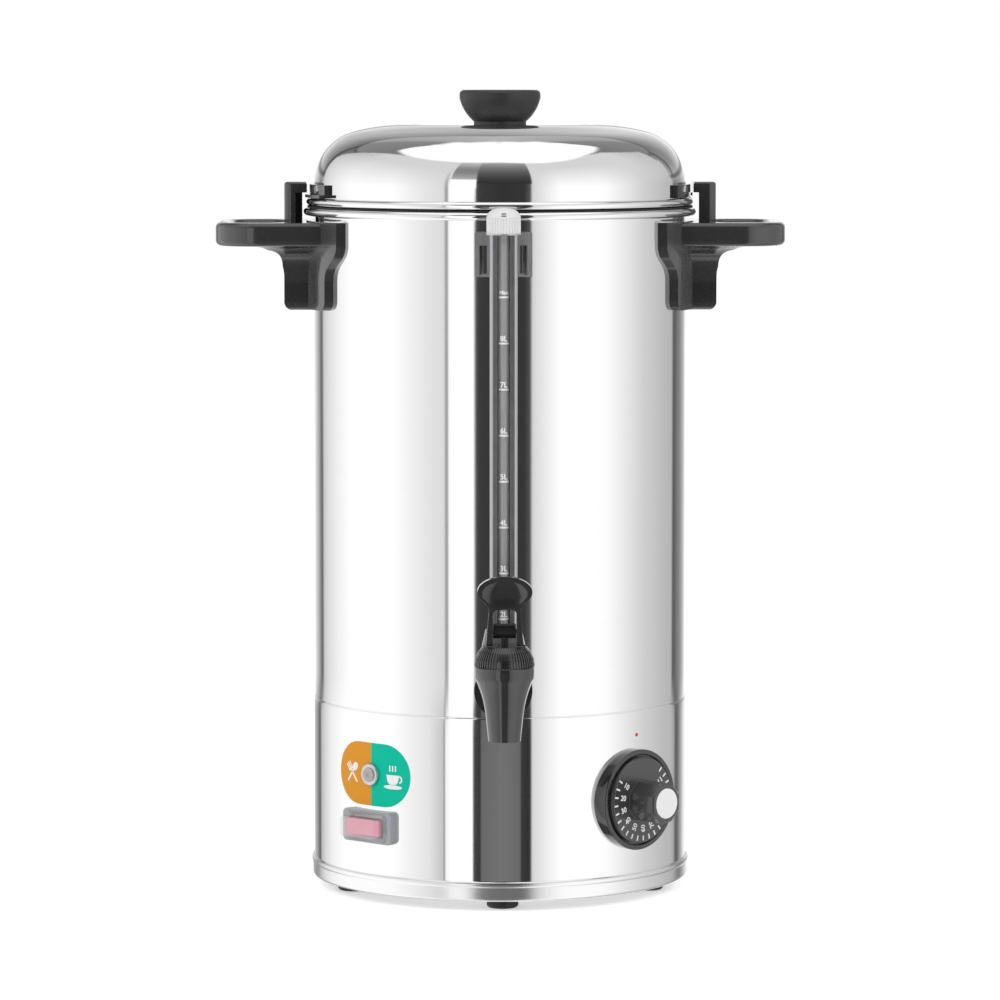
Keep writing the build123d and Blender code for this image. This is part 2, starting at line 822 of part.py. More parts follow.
# The block and its gussets: a side view and a front view, each with a concave sweep into the grip.
with BuildPart() as handle_block:
    with BuildSketch(Plane.XZ):
        with BuildLine():
            low = Line((0, block_low), (block_reach - block_corner, block_low))
            heel = JernArc(low @ 1, (1, 0), block_corner, 90)
            rise = Line(heel @ 1, (block_reach, grip_low - gusset_radius))
            sweep_out = JernArc(rise @ 1, (0, 1), gusset_radius, -90)
            Polyline(
                sweep_out @ 1,
                (block_reach + gusset_radius, grip_low + grip_thickness / 2),
                (0, grip_low + grip_thickness / 2),
                low @ 0,
            )
        make_face()
    extrude(amount=grip_half_width, both=True)
    with BuildSketch(Plane.YZ):
        with BuildLine():
            foot_line = Line((0, block_low), (block_half_width - block_corner, block_low))
            toe = JernArc(foot_line @ 1, (1, 0), block_corner, 90)
            flank = Line(toe @ 1, (block_half_width, grip_low - gusset_side_radius))
            flare = JernArc(flank @ 1, (0, 1), gusset_side_radius, -90)
            Polyline(
                flare @ 1,
                (block_half_width + gusset_side_radius, grip_low + grip_thickness / 2),
                (0, grip_low + grip_thickness / 2),
                foot_line @ 0,
            )
        make_face()
        mirror(about=Plane.YZ)
    extrude(amount=grip_reach, mode=Mode.INTERSECT)

# The flange that hugs the vessel, wide under the rim and narrower below.
with BuildPart() as handle_flange:
    with BuildSketch(through_axis(0)):
        with Locations((tank_radius, flange_low)):
            Rectangle(flange_thickness, flange_top - flange_low, align=(Align.MIN, Align.MIN))
    revolve(axis=Axis.Z, revolution_arc=180)
    with BuildSketch(Plane.YZ):
        with BuildLine():
            shoulder_side = Line(
                (flange_half_wide, flange_top), (flange_half_wide, flange_wide_low)
            )
            flank = Spline(
                shoulder_side @ 1,
                (flange_half_narrow, flange_narrow_high),
                tangents=(Vector(0, -1), Vector(0, -1)),
            )
            skirt = Line(flank @ 1, (flange_half_narrow, flange_low + flange_corner))
            corner = JernArc(skirt @ 1, (0, -1), flange_corner, -90)
            Polyline(corner @ 1, (0, flange_low), (0, flange_top), shoulder_side @ 0)
        make_face()
        mirror(about=Plane.YZ)
    extrude(amount=grip_reach, mode=Mode.INTERSECT)

# The post and its hook; the lock's tongue turns in from one side, and a web closes the other.
with BuildPart() as handle_hook:
    with BuildSketch(Plane.XZ):
        with BuildLine():
            Polyline(
                (post_outer, grip_top - grip_round),
                (post_outer, hook_top),
                (hook_tip, hook_top),
                (hook_tip, hook_top - hook_thickness),
                (post_inner, hook_top - hook_thickness),
                (post_inner, grip_top - grip_round),
                (post_outer, grip_top - grip_round),
            )
        make_face()
    extrude(amount=hook_half_width, both=True)
    fillet(handle_hook.edges().filter_by(Axis.Z).group_by(Axis.X)[-1], post_round)
    fillet(handle_hook.faces().sort_by(Axis.Z)[-1].edges(), hook_round)
    with BuildSketch(Plane.XZ.offset(hook_half_width)):
        with Locations((stop_face, grip_top - grip_round)):
            Rectangle(
                stop_depth + gap,
                hook_top - hook_thickness - grip_top + grip_round,
                align=(Align.MIN, Align.MIN),
            )
    extrude(amount=-stop_thickness)

with BuildPart() as handle_right:
    grip_inner = tank_radius - grip_half_width
    with BuildSketch(Plane.XY.offset(grip_low)):
        with Locations(((grip_inner + grip_reach) / 2, 0)):
            RectangleRounded(grip_reach - grip_inner, 2 * grip_half_width, grip_corner)
        with Locations(((finger_near + finger_far) / 2, 0)):
            RectangleRounded(
                finger_far - finger_near, 2 * finger_half_width, finger_round, mode=Mode.SUBTRACT
            )
    extrude(amount=grip_thickness)
    fillet(handle_right.faces().filter_by(Axis.Z).edges(), grip_round)
    add(handle_block.part)
    with BuildSketch(Plane.XY.offset(block_low)):
        with Locations(((finger_near + finger_far) / 2, 0)):
            RectangleRounded(finger_far - finger_near, 2 * finger_half_width, finger_round)
    extrude(amount=grip_top - block_low, mode=Mode.SUBTRACT)
    add(handle_flange.part)
    add(handle_hook.part)
    Cylinder(tank_radius, cutter, mode=Mode.SUBTRACT)
    for plane in handle_screw_planes[len(handle_screw_heights) :]:
        with BuildSketch(plane.offset(-tank_wall)):
            Circle(handle_screw_radius)
        extrude(amount=tank_wall + handle_screw_depth, mode=Mode.SUBTRACT)
save(handle_right, "handle_right")

with BuildPart() as handle_left:
    add(handle_right.part, rotation=(0, 0, 180))
save(handle_left, "handle_left")

with BuildPart() as handle_washers:
    for plane in handle_screw_planes:
        with BuildSketch(plane.offset(-tank_wall - handle_washer_thickness)):
            Circle(handle_washer_radius)
            Circle(handle_screw_radius + screw_gap, mode=Mode.SUBTRACT)
        extrude(amount=handle_washer_thickness)
    Cylinder(tank_inner, cutter, mode=Mode.INTERSECT)
save(handle_washers, "handle_washers")

with BuildPart() as handle_screws:
    for plane in handle_screw_planes:
        with BuildSketch(plane.offset(-tank_wall - handle_washer_thickness)):
            Circle(handle_screw_head)
        extrude(amount=-handle_screw_head_height)
        with BuildSketch(plane.offset(-tank_wall - handle_washer_thickness)):
            Circle(handle_screw_radius)
        extrude(amount=tank_wall + handle_washer_thickness + handle_screw_depth)
save(handle_screws, "handle_screws")

# ---------------------------------------------------------------- tap

nut_outer_face = tank_inner - inner_washer
shank_end = nut_outer_face - tap_nut_height - shank_tail
with BuildPart() as tap_body:
    # Spout and valve chamber, one bell shape
    with BuildSketch(valve_section):
        with BuildLine():
            tip = Line((0, spout_tip), (spout_tip_radius, spout_tip))
            pipe = Line(tip @ 1, (spout_neck_radius, spout_neck))
            bell = Spline(
                pipe @ 1, (collar_radius, collar_low), tangents=(pipe % 1, Vector(spout_flare, 1))
            )
            Polyline(bell @ 1, (collar_radius, collar_top), (0, collar_top), tip @ 0)
        make_face()
    revolve(axis=valve_axis)
    # Shank with its shoulder and thread
    with BuildSketch(Plane.XZ.offset(shank_end)):
        with Locations((0, shank_height)):
            Circle(shank_thread)
    extrude(amount=shoulder_face - shank_end)
    with BuildSketch(Plane.XZ.offset(shoulder_face)):
        with Locations((0, shank_height)):
            Circle(tap_shoulder)
    extrude(amount=shoulder_thickness)
    with BuildSketch(Plane.XZ.offset(shoulder_face)):
        with Locations((0, shank_height)):
            Circle(shank_radius)
    extrude(amount=tap_reach - shoulder_face)
    # Gauge socket
    with BuildSketch(gauge_section):
        Polygon(
            (0, shank_height),
            (socket_low_radius, shank_height),
            (socket_low_radius, socket_low),
            (socket_top_radius, socket_top),
            (0, socket_top),
            align=None,
        )
    revolve(axis=gauge_axis)
    # Waterways: shank, chamber with its seat, outlet, gauge passage
    with BuildSketch(Plane.XZ.offset(shank_end)):
        with Locations((0, shank_height)):
            Circle(shank_bore)
    extrude(amount=tap_reach - shank_end, mode=Mode.SUBTRACT)
    with BuildSketch(valve_section):
        with Locations((0, seat_height)):
            Rectangle(chamber_radius, collar_top - seat_height, align=(Align.MIN, Align.MIN))
        with Locations((0, spout_tip)):
            Rectangle(seat_bore, seat_height - spout_tip, align=(Align.MIN, Align.MIN))
            Rectangle(outlet_bore, outlet_depth, align=(Align.MIN, Align.MIN))
    revolve(axis=valve_axis, mode=Mode.SUBTRACT)
    with BuildSketch(gauge_section):
        with Locations((0, shank_height)):
            Rectangle(socket_passage, socket_top - shank_height, align=(Align.MIN, Align.MIN))
        with Locations((0, tube_seat)):
            Rectangle(tube_radius + slip, socket_top - tube_seat, align=(Align.MIN, Align.MIN))
        with Locations((0, socket_top)):
            Rectangle(seal_radius, seal_height, align=(Align.MIN, Align.MAX))
    revolve(axis=gauge_axis, mode=Mode.SUBTRACT)
save(tap_body, "tap_body")

with BuildPart() as inner_washer_ring:
    with BuildSketch(Plane.XZ.offset(nut_outer_face)):
        with Locations((0, shank_height)):
            Circle(inner_washer_radius)
            Circle(washer_bore, mode=Mode.SUBTRACT)
    extrude(amount=inner_washer)
    Cylinder(tank_inner, cutter, mode=Mode.INTERSECT)

with BuildPart() as tap_washers:
    with BuildSketch(Plane.XZ.offset(shoulder_face)):
        with Locations((0, shank_height)):
            Circle(tap_shoulder)
            Circle(washer_bore, mode=Mode.SUBTRACT)
    extrude(amount=-outer_washer - falls_back(tank_radius, tap_shoulder))
    Cylinder(tank_radius, cutter, mode=Mode.SUBTRACT)
    add(inner_washer_ring.part)
save(tap_washers, "tap_washers")

with BuildPart() as tap_nut:
    with BuildSketch(Plane.XZ.offset(nut_outer_face)):
        with Locations((0, shank_height)):
            RegularPolygon(tap_nut_flats / 2, 6, major_radius=False)
            Circle(shank_thread + slip, mode=Mode.SUBTRACT)
    extrude(amount=-tap_nut_height)
save(tap_nut, "tap_nut")

with BuildPart() as tap_bonnet:
    with BuildSketch(valve_section):
        with BuildLine():
            wall = Line((collar_radius, collar_top), (collar_radius, collar_top + bonnet_side))
            brow = Spline(
                wall @ 1,
                (bonnet_top_radius, bonnet_top),
                tangents=(Vector(0, 1), Vector(-bonnet_slope, 1)),
            )
            Polyline(brow @ 1, (0, bonnet_top), (0, collar_top), wall @ 0)
        make_face()
    revolve(axis=valve_axis)
    with BuildSketch(valve_section):
        with Locations((0, collar_top)):
            Rectangle(
                chamber_radius, bonnet_height - bonnet_roof, align=(Align.MIN, Align.MIN)
            )
            Rectangle(stem_radius + slip, bonnet_height, align=(Align.MIN, Align.MIN))
    revolve(axis=valve_axis, mode=Mode.SUBTRACT)
    with BuildSketch(Plane(origin=(0, -tap_reach, collar_top))):
        with PolarLocations(collar_radius, bonnet_rib_count):
            RegularPolygon(bonnet_groove, 4)
    extrude(amount=bonnet_height, mode=Mode.SUBTRACT)
    with BuildSketch(Plane.XZ.offset(tap_reach + bonnet_top_radius - bonnet_lug[2])):
        with Locations((0, bonnet_top)):
            Rectangle(bonnet_lug[0], bonnet_lug[1], align=(Align.CENTER, Align.MAX))
    extrude(amount=collar_radius - bonnet_top_radius + bonnet_lug[2])
save(tap_bonnet, "tap_bonnet")

with BuildPart() as tap_stem:
    with BuildSketch(valve_section):
        with Locations((0, seat_height + stem_socket)):
            Rectangle(stem_radius, pin_height - seat_height - stem_socket, align=(Align.MIN, Align.MIN))
        with Locations((0, seat_collar)):
            Rectangle(stem_collar_radius, stem_collar_height, align=(Align.MIN, Align.MIN))
    revolve(axis=valve_axis)
    with BuildSketch(Plane.YZ):
        with Locations((-tap_reach, pin_height)):
            Circle(stem_head_radius)
    extrude(amount=stem_head_half_width, both=True)
    with BuildSketch(Plane.YZ):
        with Locations((-tap_reach, pin_height)):
            Circle(pin_radius + slip)
    extrude(amount=collar_radius, both=True, mode=Mode.SUBTRACT)
save(tap_stem, "tap_stem")

with BuildPart() as tap_seat_cup:
    with BuildSketch(valve_section):
        with Locations((0, seat_height)):
            Rectangle(cup_radius, cup_height, align=(Align.MIN, Align.MIN))
        with Locations((0, seat_height + stem_socket)):
            Rectangle(
                stem_radius, cup_height, align=(Align.MIN, Align.MIN), mode=Mode.SUBTRACT
            )
    revolve(axis=valve_axis)
save(tap_seat_cup, "tap_seat_cup")

spring_low = seat_collar + stem_collar_height
spring_high = bonnet_top - bonnet_roof
coil_height = spring_high - spring_low - 2 * (spring_wire + slip)
with BuildPart() as tap_spring:
    with BuildLine(Plane(origin=(0, -tap_reach, spring_low + spring_wire + slip))):
        coil = Helix(pitch=coil_height / spring_turns, height=coil_height, radius=spring_radius)
    with BuildSketch(Plane(origin=coil @ 0, z_dir=coil % 0)):
        RegularPolygon(spring_wire, spring_sides)
    sweep(is_frenet=True)
save(tap_spring, "tap_spring")

cam_place = (
    -tap_reach - cam_offset * sin(radians(cam_angle)),
    pin_height - cam_offset * cos(radians(cam_angle)),
)
blade_top = Vector(0, -tap_reach - lever_lean - paddle_thickness / 2, pin_height + lever_top)
blade_foot = Vector(0, cam_place[0] - cam_radius, cam_place[1])
blade_up = (blade_top - blade_foot).normalized()
paddle_plane = Plane(
    origin=blade_foot + blade_up * (pin_height + dish_up - cam_place[1]) * (1 / blade_up.Z),
    x_dir=(1, 0, 0),
    z_dir=Vector(1, 0, 0).cross(blade_up),
)
across_paddle = Plane(
    origin=paddle_plane.origin, x_dir=paddle_plane.x_dir, z_dir=-paddle_plane.y_dir
)
scoop_swing = (dish_half_height**2 + dish_depth**2) / (2 * dish_depth)
scoop_axis = Axis(paddle_plane.offset(scoop_swing - dish_depth).origin, paddle_plane.x_dir)
with BuildPart() as tap_lever:
    # Front view: a round-topped paddle on a waisted fork
    with BuildSketch(Plane.XZ):
        with BuildLine():
            leg = Line(
                (fork_half_width, pin_height - cam_offset - cam_radius),
                (neck_half_width, pin_height + neck_height),
            )
            waist = Spline(
                leg @ 1,
                (lever_half_width, pin_height + lever_widest),
                tangents=(leg % 1, Vector(0, 1)),
            )
            crown_arc = EllipticalCenterArc(
                (0, pin_height + lever_widest),
                lever_half_width,
                lever_top - lever_widest,
                arc_size=90,
            )
            Polyline(crown_arc @ 1, (0, pin_height - cam_offset - cam_radius), leg @ 0)
        make_face()
        mirror(about=Plane.YZ)
    extrude(amount=2 * tap_reach)
    # Side view: cam, pin boss and a blade that leans forwards
    with BuildSketch(Plane.YZ) as lever_side:
        with Locations(cam_place):
            Circle(cam_radius)
        with Locations((-tap_reach, pin_height)):
            Circle(boss_radius)
        with BuildLine():
            Polyline(
                (-tap_reach + boss_radius, pin_height),
                (-tap_reach - lever_lean + paddle_thickness / 2, pin_height + lever_top),
                (-tap_reach - lever_lean - paddle_thickness / 2, pin_height + lever_top),
                (cam_place[0] - cam_radius, cam_place[1]),
                (-tap_reach + boss_radius, pin_height),
            )
        make_face()
    extrude(amount=lever_half_width, both=True, mode=Mode.INTERSECT)
    # A scoop for the finger, curved both ways
    with BuildSketch(across_paddle):
        with BuildLine():
            ThreePointArc((-dish_half_width, 0), (0, -dish_depth), (dish_half_width, 0))
            Line((dish_half_width, 0), (-dish_half_width, 0))
        make_face()
    revolve(axis=scoop_axis, mode=Mode.SUBTRACT)
    with BuildSketch(Plane.XZ) as fork_gap:
        with Locations((0, pin_height - cam_offset - cam_radius)):
            Rectangle(
                2 * fork_half_gap,
                cam_offset + cam_radius + fork_height,
                align=(Align.CENTER, Align.MIN),
            )
        fillet(fork_gap.vertices().group_by(Axis.Y)[-1], fork_corner)
    extrude(amount=2 * tap_reach, mode=Mode.SUBTRACT)
    with BuildSketch(Plane.YZ):
        with Locations((-tap_reach, pin_height)):
            Circle(pin_radius)
    extrude(amount=lever_half_width, both=True, mode=Mode.SUBTRACT)
save(tap_lever, "tap_lever")

with BuildPart() as tap_lever_pin:
    with BuildSketch(Plane.YZ):
        with Locations((-tap_reach, pin_height)):
            Circle(pin_radius)
    extrude(amount=fork_half_gap + pin_grip, both=True)
save(tap_lever_pin, "tap_lever_pin")

# ---------------------------------------------------------------- sight gauge

tube_top = bracket_top + cap_socket
with BuildPart() as gauge_tube:
    with BuildSketch(Plane(origin=(0, -gauge_reach, tube_seat))):
        Circle(tube_radius)
        Circle(tube_bore, mode=Mode.SUBTRACT)
    extrude(amount=tube_top - tube_seat)
save(gauge_tube, "gauge_tube")

guard_top = bracket_top - bracket_sheet
with BuildPart() as gauge_guard:
    with BuildSketch(Plane(origin=(0, -gauge_reach, socket_top))):
        RectangleRounded(guard_width, guard_depth, guard_corner)
        RectangleRounded(
            guard_width - 2 * guard_wall,
            guard_depth - 2 * guard_wall,
            guard_corner - guard_wall,
            mode=Mode.SUBTRACT,
        )
        with Locations((0, -guard_depth / 2)):
            Rectangle(guard_slot, 2 * guard_corner, mode=Mode.SUBTRACT)
    extrude(amount=guard_top - socket_top)
save(gauge_guard, "gauge_guard")

strap_front = gauge_reach - guard_depth / 2
with BuildPart() as gauge_bracket:
    with BuildSketch(Plane.XY.offset(bracket_low)):
        with Locations((0, -strap_front)):
            Rectangle(2 * bracket_half_width, strap_front, align=(Align.CENTER, Align.MIN))
            with Locations((0, bracket_sheet)):
                Rectangle(
                    2 * (bracket_half_width - bracket_sheet),
                    strap_front,
                    align=(Align.CENTER, Align.MIN),
                    mode=Mode.SUBTRACT,
                )
    extrude(amount=bracket_top - bracket_low)
    with BuildSketch(Plane.XZ.offset(strap_front)):
        with Locations((-window_place, window_low), (window_place, window_low)):
            Rectangle(window_width, window_height, align=(Align.CENTER, Align.MIN))
    extrude(amount=-2 * bracket_sheet, mode=Mode.SUBTRACT)
    with BuildSketch(Plane.XY.offset(guard_top)):
        with Locations((0, -strap_front)):
            Rectangle(2 * bracket_half_width, strap_front, align=(Align.CENTER, Align.MIN))
        with Locations((0, -gauge_reach)):
            Circle(plate_nose)
            Rectangle(2 * plate_nose, plate_nose, align=(Align.CENTER, Align.MIN))
            Circle(seal_radius, mode=Mode.SUBTRACT)
    extrude(amount=bracket_sheet)
    with BuildSketch(Plane.XZ.offset(strap_front - bracket_sheet)):
        with Locations((0, gauge_screw_height)):
            Circle(standoff_radius)
    extrude(amount=-strap_front / 2)
    with BuildSketch(Plane.XZ.offset(strap_front - bracket_sheet)):
        with Locations((0, gauge_screw_height)):
            Circle(gauge_screw_radius)
    extrude(amount=-strap_front / 2, mode=Mode.SUBTRACT)
    Cylinder(tank_radius, cutter, mode=Mode.SUBTRACT)
save(gauge_bracket, "gauge_bracket")

with BuildPart() as gauge_screw:
    with BuildSketch(Plane.XZ.offset(tank_inner - falls_back(tank_inner, gauge_screw_head))):
        with Locations((0, gauge_screw_height)):
            Circle(gauge_screw_head)
    extrude(amount=-gauge_screw_head_height)
    with BuildSketch(Plane.XZ.offset(tank_inner - gauge_screw_head_height)):
        with Locations((0, gauge_screw_height)):
            Circle(gauge_screw_radius)
    extrude(amount=strap_front - bracket_sheet - tank_inner + gauge_screw_head_height)
save(gauge_screw, "gauge_screw")

with BuildPart() as gauge_cap:
    with BuildSketch(gauge_section):
        with BuildLine():
            base_line = Line((0, bracket_top), (cap_radius, bracket_top))
            cap_wall = Line(base_line @ 1, (cap_radius, bracket_top + cap_side))
            dome = EllipticalCenterArc(
                (0, bracket_top + cap_side), cap_radius, cap_height - cap_side, arc_size=90
            )
            Line(dome @ 1, base_line @ 0)
        make_face()
        with Locations((0, bracket_top)):
            Rectangle(
                tube_radius + slip, cap_socket, align=(Align.MIN, Align.MIN), mode=Mode.SUBTRACT
            )
            Rectangle(cap_vent, cap_height, align=(Align.MIN, Align.MIN), mode=Mode.SUBTRACT)
    revolve(axis=gauge_axis)
    with BuildSketch(Plane(origin=(0, -gauge_reach, bracket_top))):
        with PolarLocations(cap_radius, cap_rib_count):
            RegularPolygon(cap_groove, 4)
    extrude(amount=cap_side, mode=Mode.SUBTRACT)
save(gauge_cap, "gauge_cap")

with BuildPart() as gauge_seals:
    with BuildSketch(Plane(origin=(0, -gauge_reach, socket_top))):
        Circle(seal_radius - slip)
        Circle(tube_radius + slip, mode=Mode.SUBTRACT)
    extrude(amount=-seal_height)
    with BuildSketch(Plane(origin=(0, -gauge_reach, bracket_top))):
        Circle(seal_radius - slip)
        Circle(tube_radius + slip, mode=Mode.SUBTRACT)
    extrude(amount=-bracket_sheet)
save(gauge_seals, "gauge_seals")

# ---------------------------------------------------------------- thermostat and dial

bezel_back = falls_back(housing_radius, bezel_radius)
with BuildPart() as dial_bezel:
    with BuildSketch(dial_wall.offset(bezel_front + bezel_rim_height)):
        Circle(bezel_radius)
    extrude(amount=-bezel_rim_height - bezel_front - bezel_back)
    with BuildSketch(dial_wall.offset(bezel_front + bezel_rim_height)):
        Circle(bezel_radius - bezel_rim)
    extrude(amount=-bezel_rim_height, mode=Mode.SUBTRACT)
    fillet(dial_bezel.edges().filter_by(GeomType.CIRCLE).group_by(dial_line)[-1], bezel_rim / 3)
    Cylinder(housing_radius, cutter, mode=Mode.SUBTRACT)
    with Locations(dial_wall.offset(bezel_front)):
        Hole(shaft_hole, depth=bezel_front + bezel_back)
        with thermostat_screws_at():
            CounterBoreHole(
                thermostat_screw_radius + screw_gap,
                thermostat_screw_head + screw_gap,
                thermostat_screw_head_height,
                depth=bezel_front + bezel_back,
            )
save(dial_bezel, "dial_bezel")

skirt_back = bezel_front + skirt_gap
skirt_face = skirt_back + skirt_thickness
with BuildPart() as dial_knob:
    with BuildSketch(dial_wall.offset(skirt_back)):
        Circle(skirt_radius)
    extrude(amount=skirt_thickness)
    chamfer(dial_knob.edges().group_by(dial_line)[-1], skirt_thickness / 4)
    with BuildSketch(dial_wall.offset(skirt_face)):
        RegularPolygon(grip_across / 2, 8, rotation=22.5)
    extrude(amount=grip_length)
    chamfer(dial_knob.edges().group_by(dial_line)[-1], grip_chamfer)
    with BuildSketch(dial_wall.offset(skirt_face + grip_length)):
        Circle(dial_cap_radius)
    extrude(amount=-dial_cap_depth, mode=Mode.SUBTRACT)
    with BuildSketch(dial_wall.offset(skirt_back)):
        Circle(shaft_radius)
        with Locations((0, shaft_flat)):
            Rectangle(
                2 * shaft_radius, shaft_radius, align=(Align.CENTER, Align.MIN), mode=Mode.SUBTRACT
            )
    extrude(amount=shaft_in_knob, mode=Mode.SUBTRACT)
save(dial_knob, "dial_knob")

with BuildPart() as dial_cap:
    with BuildSketch(dial_wall.offset(skirt_face + grip_length - dial_cap_depth)):
        Circle(dial_cap_radius)
    extrude(amount=dial_cap_depth + dial_cap_proud)
    fillet(dial_cap.edges().group_by(dial_line)[-1], dial_cap_proud)
save(dial_cap, "dial_cap")

thermostat_face = -housing_wall - thermostat_front
with BuildPart() as thermostat_shaft:
    with BuildSketch(dial_wall.offset(thermostat_face - shaft_in_body)):
        Circle(shaft_radius)
    extrude(amount=skirt_back - thermostat_face + shaft_in_body)
    with BuildSketch(dial_wall.offset(skirt_back)):
        Circle(shaft_radius)
        with Locations((0, shaft_flat)):
            Rectangle(
                2 * shaft_radius, shaft_radius, align=(Align.CENTER, Align.MIN), mode=Mode.SUBTRACT
            )
    extrude(amount=shaft_in_knob)
save(thermostat_shaft, "thermostat_shaft")

boss_face = -housing_wall - falls_back(housing_inner, thermostat_boss)
with BuildPart() as thermostat_body:
    with BuildSketch(dial_wall.offset(thermostat_face)):
        RectangleRounded(thermostat_width, thermostat_tall, thermostat_boss)
    extrude(amount=-thermostat_depth)
    with BuildSketch(dial_wall.offset(thermostat_face)):
        with thermostat_screws_at():
            Circle(thermostat_boss)
    extrude(amount=boss_face - thermostat_face)
    with Locations(dial_wall.offset(boss_face)):
        with thermostat_screws_at():
            Hole(
                thermostat_screw_radius,
                depth=boss_face - thermostat_face + thermostat_screw_depth,
            )
    with Locations(dial_wall.offset(thermostat_face)):
        Hole(shaft_radius + slip, depth=shaft_in_body + slip)
save(thermostat_body, "thermostat_body")

screw_seat = bezel_front - thermostat_screw_head_height
with BuildPart() as thermostat_screws:
    with BuildSketch(dial_wall.offset(screw_seat)):
        with thermostat_screws_at():
            Circle(thermostat_screw_head)
    extrude(amount=thermostat_screw_head_height)
    with BuildSketch(dial_wall.offset(screw_seat)):
        with thermostat_screws_at():
            Circle(thermostat_screw_radius)
    extrude(amount=thermostat_face - thermostat_screw_depth - screw_seat)
save(thermostat_screws, "thermostat_screws")

# The capillary runs down from the bulb and across to the back of the thermostat.
bulb_end = Vector(bulb_length / 2, bulb_offset, bulb_height)
thermostat_back = dial_wall.offset(thermostat_face - thermostat_depth)
capillary_in = thermostat_back.origin
capillary_out = capillary_in - thermostat_back.z_dir * 2 * capillary_bend
with BuildPart() as capillary_tube:
    with BuildLine() as capillary_path:
        FilletPolyline(
            bulb_end,
            bulb_end + Vector(2 * capillary_bend, 0, 0),
            bulb_end + Vector(2 * capillary_bend, 0, -3 * capillary_bend),
            capillary_out,
            capillary_in,
            radius=capillary_bend / 2,
        )
    with BuildSketch(Plane(origin=bulb_end, z_dir=(1, 0, 0))):
        Circle(capillary_radius)
    sweep()
save(capillary_tube, "capillary_tube")

# ---------------------------------------------------------------- switch

frame_back = falls_back(housing_radius, frame_width / 2)
with BuildPart() as switch_body:
    with BuildSketch(switch_plane.offset(frame_front)):
        RectangleRounded(frame_width, frame_tall, frame_corner)
    extrude(amount=-frame_front - frame_back)
    Cylinder(housing_radius, cutter, mode=Mode.SUBTRACT)
    fillet(switch_body.edges().group_by(switch_line)[-1], frame_corner / 3)
    with BuildSketch(switch_plane.offset(frame_front / 2)):
        Rectangle(well_width + 2 * switch_wall, well_tall + 2 * switch_wall)
    extrude(amount=-frame_front / 2 - switch_body_depth)
    with BuildSketch(switch_plane.offset(frame_front)):
        RectangleRounded(well_width, well_tall, boot_corner - boot_wall)
    extrude(amount=-frame_front - well_depth, mode=Mode.SUBTRACT)
    with BuildSketch(switch_plane.offset(-switch_body_depth)):
        with GridLocations(switch_tab_pitch, 0, 3, 1):
            Rectangle(switch_tab[0], switch_tab[1])
    extrude(amount=-switch_tab[2])
    with BuildSketch(trunnion_plane):
        Circle(trunnion_radius + slip)
    extrude(amount=rocker_half_tall + trunnion_length + slip, both=True, mode=Mode.SUBTRACT)
save(switch_body, "switch_body")

with BuildPart() as switch_rocker:
    with BuildSketch(rocker_plane):
        Polygon(
            (-rocker_foot, -rocker_drop),
            (rocker_foot, -rocker_drop),
            (rocker_half_length, rocker_peak),
            (0, rocker_valley),
            (-rocker_half_length, rocker_peak),
            align=None,
        )
    extrude(amount=rocker_half_tall, both=True)
    with BuildSketch(rocker_plane):
        Circle(trunnion_radius)
    extrude(amount=rocker_half_tall + trunnion_length, both=True)
save(switch_rocker, "switch_rocker")

with BuildPart() as switch_boot:
    with BuildSketch(switch_plane.offset(frame_front)):
        RectangleRounded(boot_width, boot_tall, boot_corner)
    extrude(amount=boot_rise)
    fillet(switch_boot.edges().group_by(switch_line)[-1], boot_wall)
    with BuildSketch(switch_plane.offset(frame_front)):
        RectangleRounded(
            boot_width + 2 * boot_flange, boot_tall + 2 * boot_flange, boot_corner + boot_flange / 2
        )
    extrude(amount=boot_flange_thickness)
    with BuildSketch(switch_plane.offset(frame_front)):
        RectangleRounded(
            boot_width - 2 * boot_wall, boot_tall - 2 * boot_wall, boot_corner - boot_wall
        )
    extrude(amount=boot_rise - boot_wall, mode=Mode.SUBTRACT)
save(switch_boot, "switch_boot")

# ---------------------------------------------------------------- lamp

lamp_back = falls_back(housing_radius, lamp_flange)
with BuildPart() as lamp_bezel:
    with BuildSketch(lamp_plane.offset(lamp_front)):
        Circle(lamp_flange)
    extrude(amount=-lamp_front - lamp_back)
    fillet(lamp_bezel.edges().group_by(lamp_line)[-1], lamp_front / 3)
    Cylinder(housing_radius, cutter, mode=Mode.SUBTRACT)
    with BuildSketch(lamp_plane.offset(lamp_front / 2)):
        Circle(lamp_tube)
    extrude(amount=-lamp_front / 2 - lamp_tube_depth)
    with BuildSketch(lamp_plane.offset(lamp_front)):
        Circle(lens_radius + slip)
    extrude(amount=-lamp_front - lamp_tube_depth, mode=Mode.SUBTRACT)
save(lamp_bezel, "lamp_bezel")

with BuildPart() as lamp_lens:
    with BuildSketch(lamp_plane.offset(-lamp_tube_depth)):
        Circle(lens_radius)
    extrude(amount=lamp_tube_depth + lamp_front + lens_dome)
    fillet(lamp_lens.edges().group_by(lamp_line)[-1], lens_dome)
save(lamp_lens, "lamp_lens")

with BuildPart() as lamp_body:
    with BuildSketch(lamp_plane.offset(-lamp_tube_depth)):
        Circle(lamp_body_radius)
    extrude(amount=-lamp_body_length)
    with BuildSketch(lamp_plane.offset(-lamp_tube_depth - lamp_body_length)):
        with GridLocations(lamp_body_radius, 0, 2, 1):
            Rectangle(lamp_tab[0], lamp_tab[1])
    extrude(amount=-lamp_tab[2])
save(lamp_body, "lamp_body")

# ---------------------------------------------------------------- inlet and terminals

